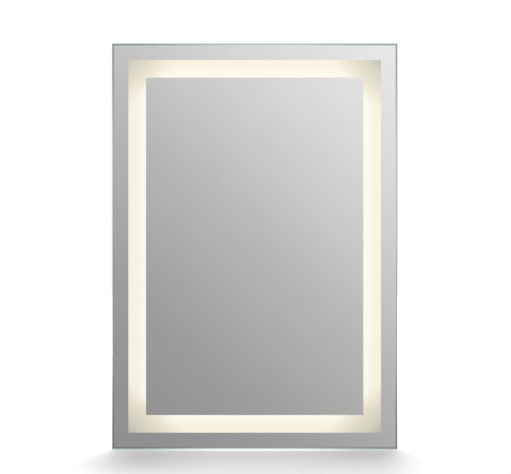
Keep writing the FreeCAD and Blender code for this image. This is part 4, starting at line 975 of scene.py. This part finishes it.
PHOSPHOR = Phosphor("phosphor_lit")
SILVER = SilverLayer("silver_and_backing")
BAND = FrostedBand("frosted_band_lit")
# Corner colours of the glass are painted shade, and the clear faces' tint is painted edge
# glow.
CLEAR = FloatGlass("glass_clear", corner=(0.52, 0.62, 0.58),
                   tint_reach=(3.4 * MM, 4.0 * MM))
ARRIS = FloatGlass("glass_arris", rough=0.03, ripple=0.02 * MM)
EDGE = FloatGlass("glass_edge", corner=(0.22, 0.38, 0.33), tint=(0.34, 0.55, 0.47),
                  rough=0.22, ripple=0.05 * MM, through=0.35)
FLOOR = PaleFloor("studio_floor")


@dataclass
class SubAssembly:
    """Pieces that belong together, with what dresses them."""

    body: str = "mirror"
    made: list[str] = field(default_factory=list)

    def dress(self, finishes: Mapping[str, Finish]) -> None:
        """Give nodes of the frame their finish.

        Args:
            finishes: Finish of each node by name.
        """
        for name, finish in finishes.items():
            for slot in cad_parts[name].material_slots:
                slot.material = finish.material()
            self.made.append(name)

    def piece(self, mesh: bpy.types.Mesh, finishes: Sequence[Finish], slot: str,
              stands_for: str) -> None:
        """Place a piece of this sub-assembly on its body.

        Args:
            mesh: Its mesh, in the frame's own metres, with the piece's name.
            finishes: Its finishes, in the order of the mesh's indices.
            slot: Material slot of the record that it follows. Not used.
            stands_for: Node that it replaces.
        """
        made = placed(mesh.name, mesh)
        for finish in finishes:
            mesh.materials.append(finish.material())
        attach(made, self.body)
        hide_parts(stands_for)
        self.made.append(made.name)

    def build(self) -> None:
        """Make the pieces and dress them."""
        raise NotImplementedError


def to_mesh(bm: bmesh.types.BMesh, name: str, smooth: bool = False) -> bpy.types.Mesh:
    """Finish a mesh.

    Args:
        bm: Mesh being built.
        name: Name of the result.
        smooth: True to shade it smooth.

    Returns:
        The mesh.
    """
    bmesh.ops.recalc_face_normals(bm, faces=bm.faces)
    for face in bm.faces:
        face.smooth = smooth
    mesh = bpy.data.meshes.new(name)
    bm.to_mesh(mesh)
    bm.free()
    return mesh


@dataclass
class GlassPane(SubAssembly):
    """Float glass pane with a polished arris, and the layers behind it."""

    half_w: float = PANE_HALF_W
    half_h: float = PANE_HALF_H
    middle: float = PANE_MIDDLE
    y_front: float = PANE_FRONT
    y_rear: float = -38.6 * MM
    arris: float = 1.5 * MM
    corner: float = 2.0 * MM

    def loop(self, bm: bmesh.types.BMesh, inset: float,
             y: float) -> list[bmesh.types.BMVert]:
        """Outline of the pane at one depth, with round corners.

        Args:
            bm: Mesh to add to.
            inset: How far it lies inside the pane's outline.
            y: Depth at which it lies.

        Returns:
            Its vertices in order.
        """
        half_w, half_h = self.half_w - inset, self.half_h - inset
        loop = []
        corners = ((1, 1, 0), (-1, 1, 90), (-1, -1, 180), (1, -1, 270))
        for side_x, side_z, start in corners:
            for step in range(CORNER_STEPS + 1):
                turn = math.radians(start + 90 * step / CORNER_STEPS)
                loop.append(bm.verts.new((
                    side_x * (half_w - self.corner) + self.corner * math.cos(turn), y,
                    self.middle + side_z * (half_h - self.corner)
                    + self.corner * math.sin(turn))))
        return loop

    def mesh(self) -> bpy.types.Mesh:
        """Pane whose clear faces have index 0, its arris 1 and its edge 2.

        Returns:
            Its mesh.
        """
        bm = bmesh.new()
        front, rear, cut = self.y_front, self.y_rear, self.arris
        rows = ((cut, front), (0.0, front + cut), (0.0, rear - cut), (cut, rear))
        loops = [self.loop(bm, inset, y) for inset, y in rows]
        for cap in (loops[0], loops[-1]):
            bm.faces.new(cap).material_index = 0
        for first, second, index in zip(loops, loops[1:], (1, 2, 1)):
            for k, vert in enumerate(first):
                after = (k + 1) % len(first)
                face = bm.faces.new((vert, second[k], second[after], first[after]))
                face.material_index = index
        return to_mesh(bm, "glass_pane")

    def build(self) -> None:
        """Make the pane and dress the silver, the band and the tapes."""
        self.piece(self.mesh(), (CLEAR, ARRIS, EDGE), "float_glass", "mirror_glass")
        self.dress({"silver_border": SILVER, "silver_centre": SILVER,
                    "frosted_band": BAND, "frame_tape": TAPE, "carrier_tape": TAPE})


@dataclass
class LightFrame(SubAssembly):
    """Aluminium frame with its corner keys."""

    def build(self) -> None:
        """Dress the frame."""
        self.dress({"frame_top": EXTRUSION_LEVEL, "frame_bottom": EXTRUSION_LEVEL,
                    "frame_left": EXTRUSION_UPRIGHT, "frame_right": EXTRUSION_UPRIGHT,
                    "corner_keys": ZINC_EVEN, "corner_key_screws": ZINC_EVEN})


@dataclass
class LightEngine(SubAssembly):
    """Light carriers, boards and liners behind the frosted band."""

    def build(self) -> None:
        """Dress the light engine."""
        sides = {"top": CARRIER_LEVEL, "bottom": CARRIER_LEVEL,
                 "left": CARRIER_UPRIGHT, "right": CARRIER_UPRIGHT}
        for side, carrier in sides.items():
            self.dress({f"light_carrier_{side}": carrier,
                        f"light_board_{side}": LIGHT_BOARD})
        self.dress({"light_chips": PHOSPHOR, "board_plugs": WHITE_ABS,
                    "board_jumpers": SLEEVE_WHITE, "reflector_liners": LINER,
                    "carrier_rivets": ZINC_EVEN, "led_leads": SLEEVE_BLACK,
                    "grommets": RUBBER, "wire_clips": WHITE_ABS})


@dataclass
class BackPanel(SubAssembly):
    """Pressed steel panel that closes the rear."""

    def build(self) -> None:
        """Dress the panel and its screws."""
        self.dress({"back_panel": WHITE_COAT, "panel_screws": ZINC_EVEN})


@dataclass
class WallMount(SubAssembly):
    """Hooked rails and wall bumpers.

    Each ring of a bumper is its radius and its depth in millimetres, and a radius of 0
    closes the end.
    """

    bumper_x: float = 285.0 * MM
    bumper_z: float = -774.5 * MM
    bumper_rings: tuple[tuple[float, float], ...] = (
        (0.0, -10.0), (11.0, -10.0), (11.0, -9.2), (10.7, -7.5), (10.0, -3.2),
        (9.6, -1.3), (8.9, -0.4), (7.9, 0.0), (4.6, 0.0), (4.3, -0.3),
        (4.2, -3.4), (0.0, -3.6))

    def bumper(self, bm: bmesh.types.BMesh, x: float) -> None:
        """Turn one bumper about its own line from front to back.

        Args:
            bm: Mesh to add to.
            x: Place of its line across the mirror.
        """
        rings = []
        for radius, depth in self.bumper_rings:
            parts = RING_PARTS if radius else 1
            turns = [math.tau * k / parts for k in range(parts)]
            rings.append([bm.verts.new((x + radius * MM * math.cos(turn), depth * MM,
                                        self.bumper_z + radius * MM * math.sin(turn)))
                          for turn in turns])
        for first, second in zip(rings, rings[1:]):
            for k in range(RING_PARTS):
                after = (k + 1) % RING_PARTS
                corners = (first[k % len(first)], second[k % len(second)],
                           second[after % len(second)], first[after % len(first)])
                bm.faces.new(list(dict.fromkeys(corners)))

    def build(self) -> None:
        """Make the bumpers and dress the rails."""
        bm = bmesh.new()
        for x in (-self.bumper_x, self.bumper_x):
            self.bumper(bm, x)
        self.piece(to_mesh(bm, "bumper_pair", smooth=True), (RUBBER,),
                   "black_rubber", "wall_bumpers")
        self.dress({"wall_rail": ZINC_LEVEL, "hanger_rail": ZINC_LEVEL,
                    "hanger_rivets": ZINC_EVEN})


@dataclass
class WiringBox(SubAssembly):
    """Wiring compartment with its terminals and leads."""

    def build(self) -> None:
        """Dress the compartment."""
        self.dress({"wiring_box": GALVANISED, "box_rivets": ZINC_EVEN,
                    "earth_screw": SLEEVE_GREEN, "terminals": TERMINAL_GREY,
                    "lever_earth": LEVER_ORANGE, "lever_neutral": LEVER_ORANGE,
                    "lever_live": LEVER_ORANGE, "earth_lug": TIN,
                    "earth_lead": SLEEVE_GREEN, "neutral_lead": SLEEVE_WHITE,
                    "live_lead": SLEEVE_BLACK})


@dataclass
class WiringCover(SubAssembly):
    """Hinged cover of the wiring compartment."""

    def build(self) -> None:
        """Dress the cover, its hinge and the supply bushing."""
        self.dress({"wiring_cover": WHITE_COAT, "cover_screw": ZINC_EVEN,
                    "supply_bushing": BLACK_NYLON, "hinge_leaf": ZINC_LEVEL,
                    "hinge_rivets": ZINC_EVEN, "hinge_pin": ZINC_EVEN})


@dataclass
class Driver(SubAssembly):
    """Power supply of the lights."""

    def build(self) -> None:
        """Dress the driver."""
        self.dress({"driver_base": WHITE_ABS, "driver_lid": WHITE_ABS,
                    "driver_board": DRIVER_BOARD, "driver_parts": COMPONENTS,
                    "driver_screws": ZINC_EVEN})


@dataclass(frozen=True)
class SoftLamp:
    """Soft oblong lamp that looks at the mirror and shows in no reflection."""

    name: str
    place: Point
    size: tuple[float, float]
    watts: float

    def hang(self) -> None:
        """Hang the lamp and turn it to the pane's middle."""
        light = bpy.data.lights.new(self.name, "AREA")
        light.shape = "RECTANGLE"
        light.size, light.size_y = self.size
        light.energy = self.watts
        made = placed(self.name, light)
        made.location = self.place
        way = Vector((0.0, 0.0, PANE_MIDDLE)) - Vector(self.place)
        made.rotation_euler = way.to_track_quat("-Z", "Y").to_euler()
        made.visible_camera = False
        made.visible_glossy = False
        made.visible_transmission = False


@dataclass(frozen=True)
class Surroundings:
    """White for the camera, with a soft grey sweep for glass and metal.

    The sweep gives the grey for how far a ray's direction lies along the pull.
    """

    pull: Point = (2.33, 0.0, 2.51)
    daylight: float = 0.33
    sweep: tuple[tuple[float, float], ...] = (
        (-4.0, 0.80), (-3.4, 0.70), (-2.8, 0.56), (-2.2, 0.42), (-1.7, 0.34),
        (-1.0, 0.275), (-0.6, 0.292), (-0.47, 0.312), (-0.3, 0.358), (0.0, 0.507),
        (0.3, 0.722), (0.58, 0.880), (1.0, 0.97), (4.0, 0.85))

    def build(self) -> None:
        """Fill the world's nodes."""
        world = bpy.data.worlds.new("studio")
        bpy.context.scene.world = world
        sheet = NodeSheet(world)
        along = sheet.vectors("DOT_PRODUCT", sheet.coords.outputs["Generated"], self.pull)
        sweep = sheet.graded(along.outputs["Value"],
                             [(place, (grey,) * 3) for place, grey in self.sweep])
        path = sheet.add("ShaderNodeLightPath").outputs
        shiny = sheet.sums("MAXIMUM", path["Is Glossy Ray"], path["Is Transmission Ray"])
        shiny = sheet.sums("MULTIPLY", shiny,
                           sheet.span(path["Diffuse Depth"], 1.0, 0.0))
        light = sheet.add("ShaderNodeBackground", Color=WHITE, Strength=self.daylight)
        for share, colour in ((shiny, sweep), (path["Is Camera Ray"], WHITE)):
            seen = sheet.add("ShaderNodeBackground", Color=colour, Strength=1.0)
            mixed = sheet.add("ShaderNodeMixShader")
            values = (share, light.outputs[0], seen.outputs[0])
            for socket, value in zip(mixed.inputs, values):
                sheet.feed(socket, value)
            light = mixed
        sheet.add("ShaderNodeOutputWorld", Surface=light.outputs[0])


@dataclass
class Studio:
    """Surroundings, floor, lamps and camera."""

    floor_z: float = -836.5 * MM
    floor_half: float = 9.0
    floor_parts: int = 24
    lamps: tuple[SoftLamp, ...] = (
        SoftLamp("overhead", (0.15, 2.003, 7.412), (1.9, 2.4), 282.0),
        SoftLamp("rear_lamp", (-0.7, 2.5, 1.7), (2.0, 1.4), 28.0),
        SoftLamp("front_lamp", (-1.3, -3.4, 0.2), (2.0, 1.4), 42.0))
    camera_place: Point = (2.0 * MM, -3544.5 * MM, -310.1 * MM)
    lens: float = 99.35
    sensor: float = 36.0

    def build(self) -> None:
        """Set up the studio."""
        Surroundings().build()
        self.floor()
        for lamp in self.lamps:
            lamp.hang()
        self.camera()
        bpy.context.scene.view_settings.view_transform = "Standard"

    def floor(self) -> None:
        """Lay the floor, which keeps the mirror's shadow and shows in no reflection."""
        bm = bmesh.new()
        bmesh.ops.create_grid(bm, x_segments=self.floor_parts,
                              y_segments=self.floor_parts, size=self.floor_half)
        for vert in bm.verts:
            vert.co.z = self.floor_z
        floor = placed("studio_floor", to_mesh(bm, "studio_floor"))
        floor.data.materials.append(FLOOR.material())
        floor.visible_glossy = False
        floor.visible_transmission = False

    def camera(self) -> None:
        """Set up a level camera square to the mirror."""
        lens = bpy.data.cameras.new("camera")
        lens.lens, lens.sensor_width = self.lens, self.sensor
        camera = placed("camera", lens)
        camera.location = self.camera_place
        camera.rotation_euler = (math.radians(90), 0.0, 0.0)
        bpy.context.scene.camera = camera


def main() -> None:
    """Build the studio and every sub-assembly, then log the pieces that each made."""
    Studio().build()
    for kind in (GlassPane, LightFrame, LightEngine, BackPanel, WallMount,
                 WiringBox, WiringCover, Driver):
        part = kind()
        part.build()
        for name in part.made:
            logger.info("%s: %s", kind.__name__, name)


if __name__ == "__main__":
    logging.basicConfig(level=logging.INFO)
    main()
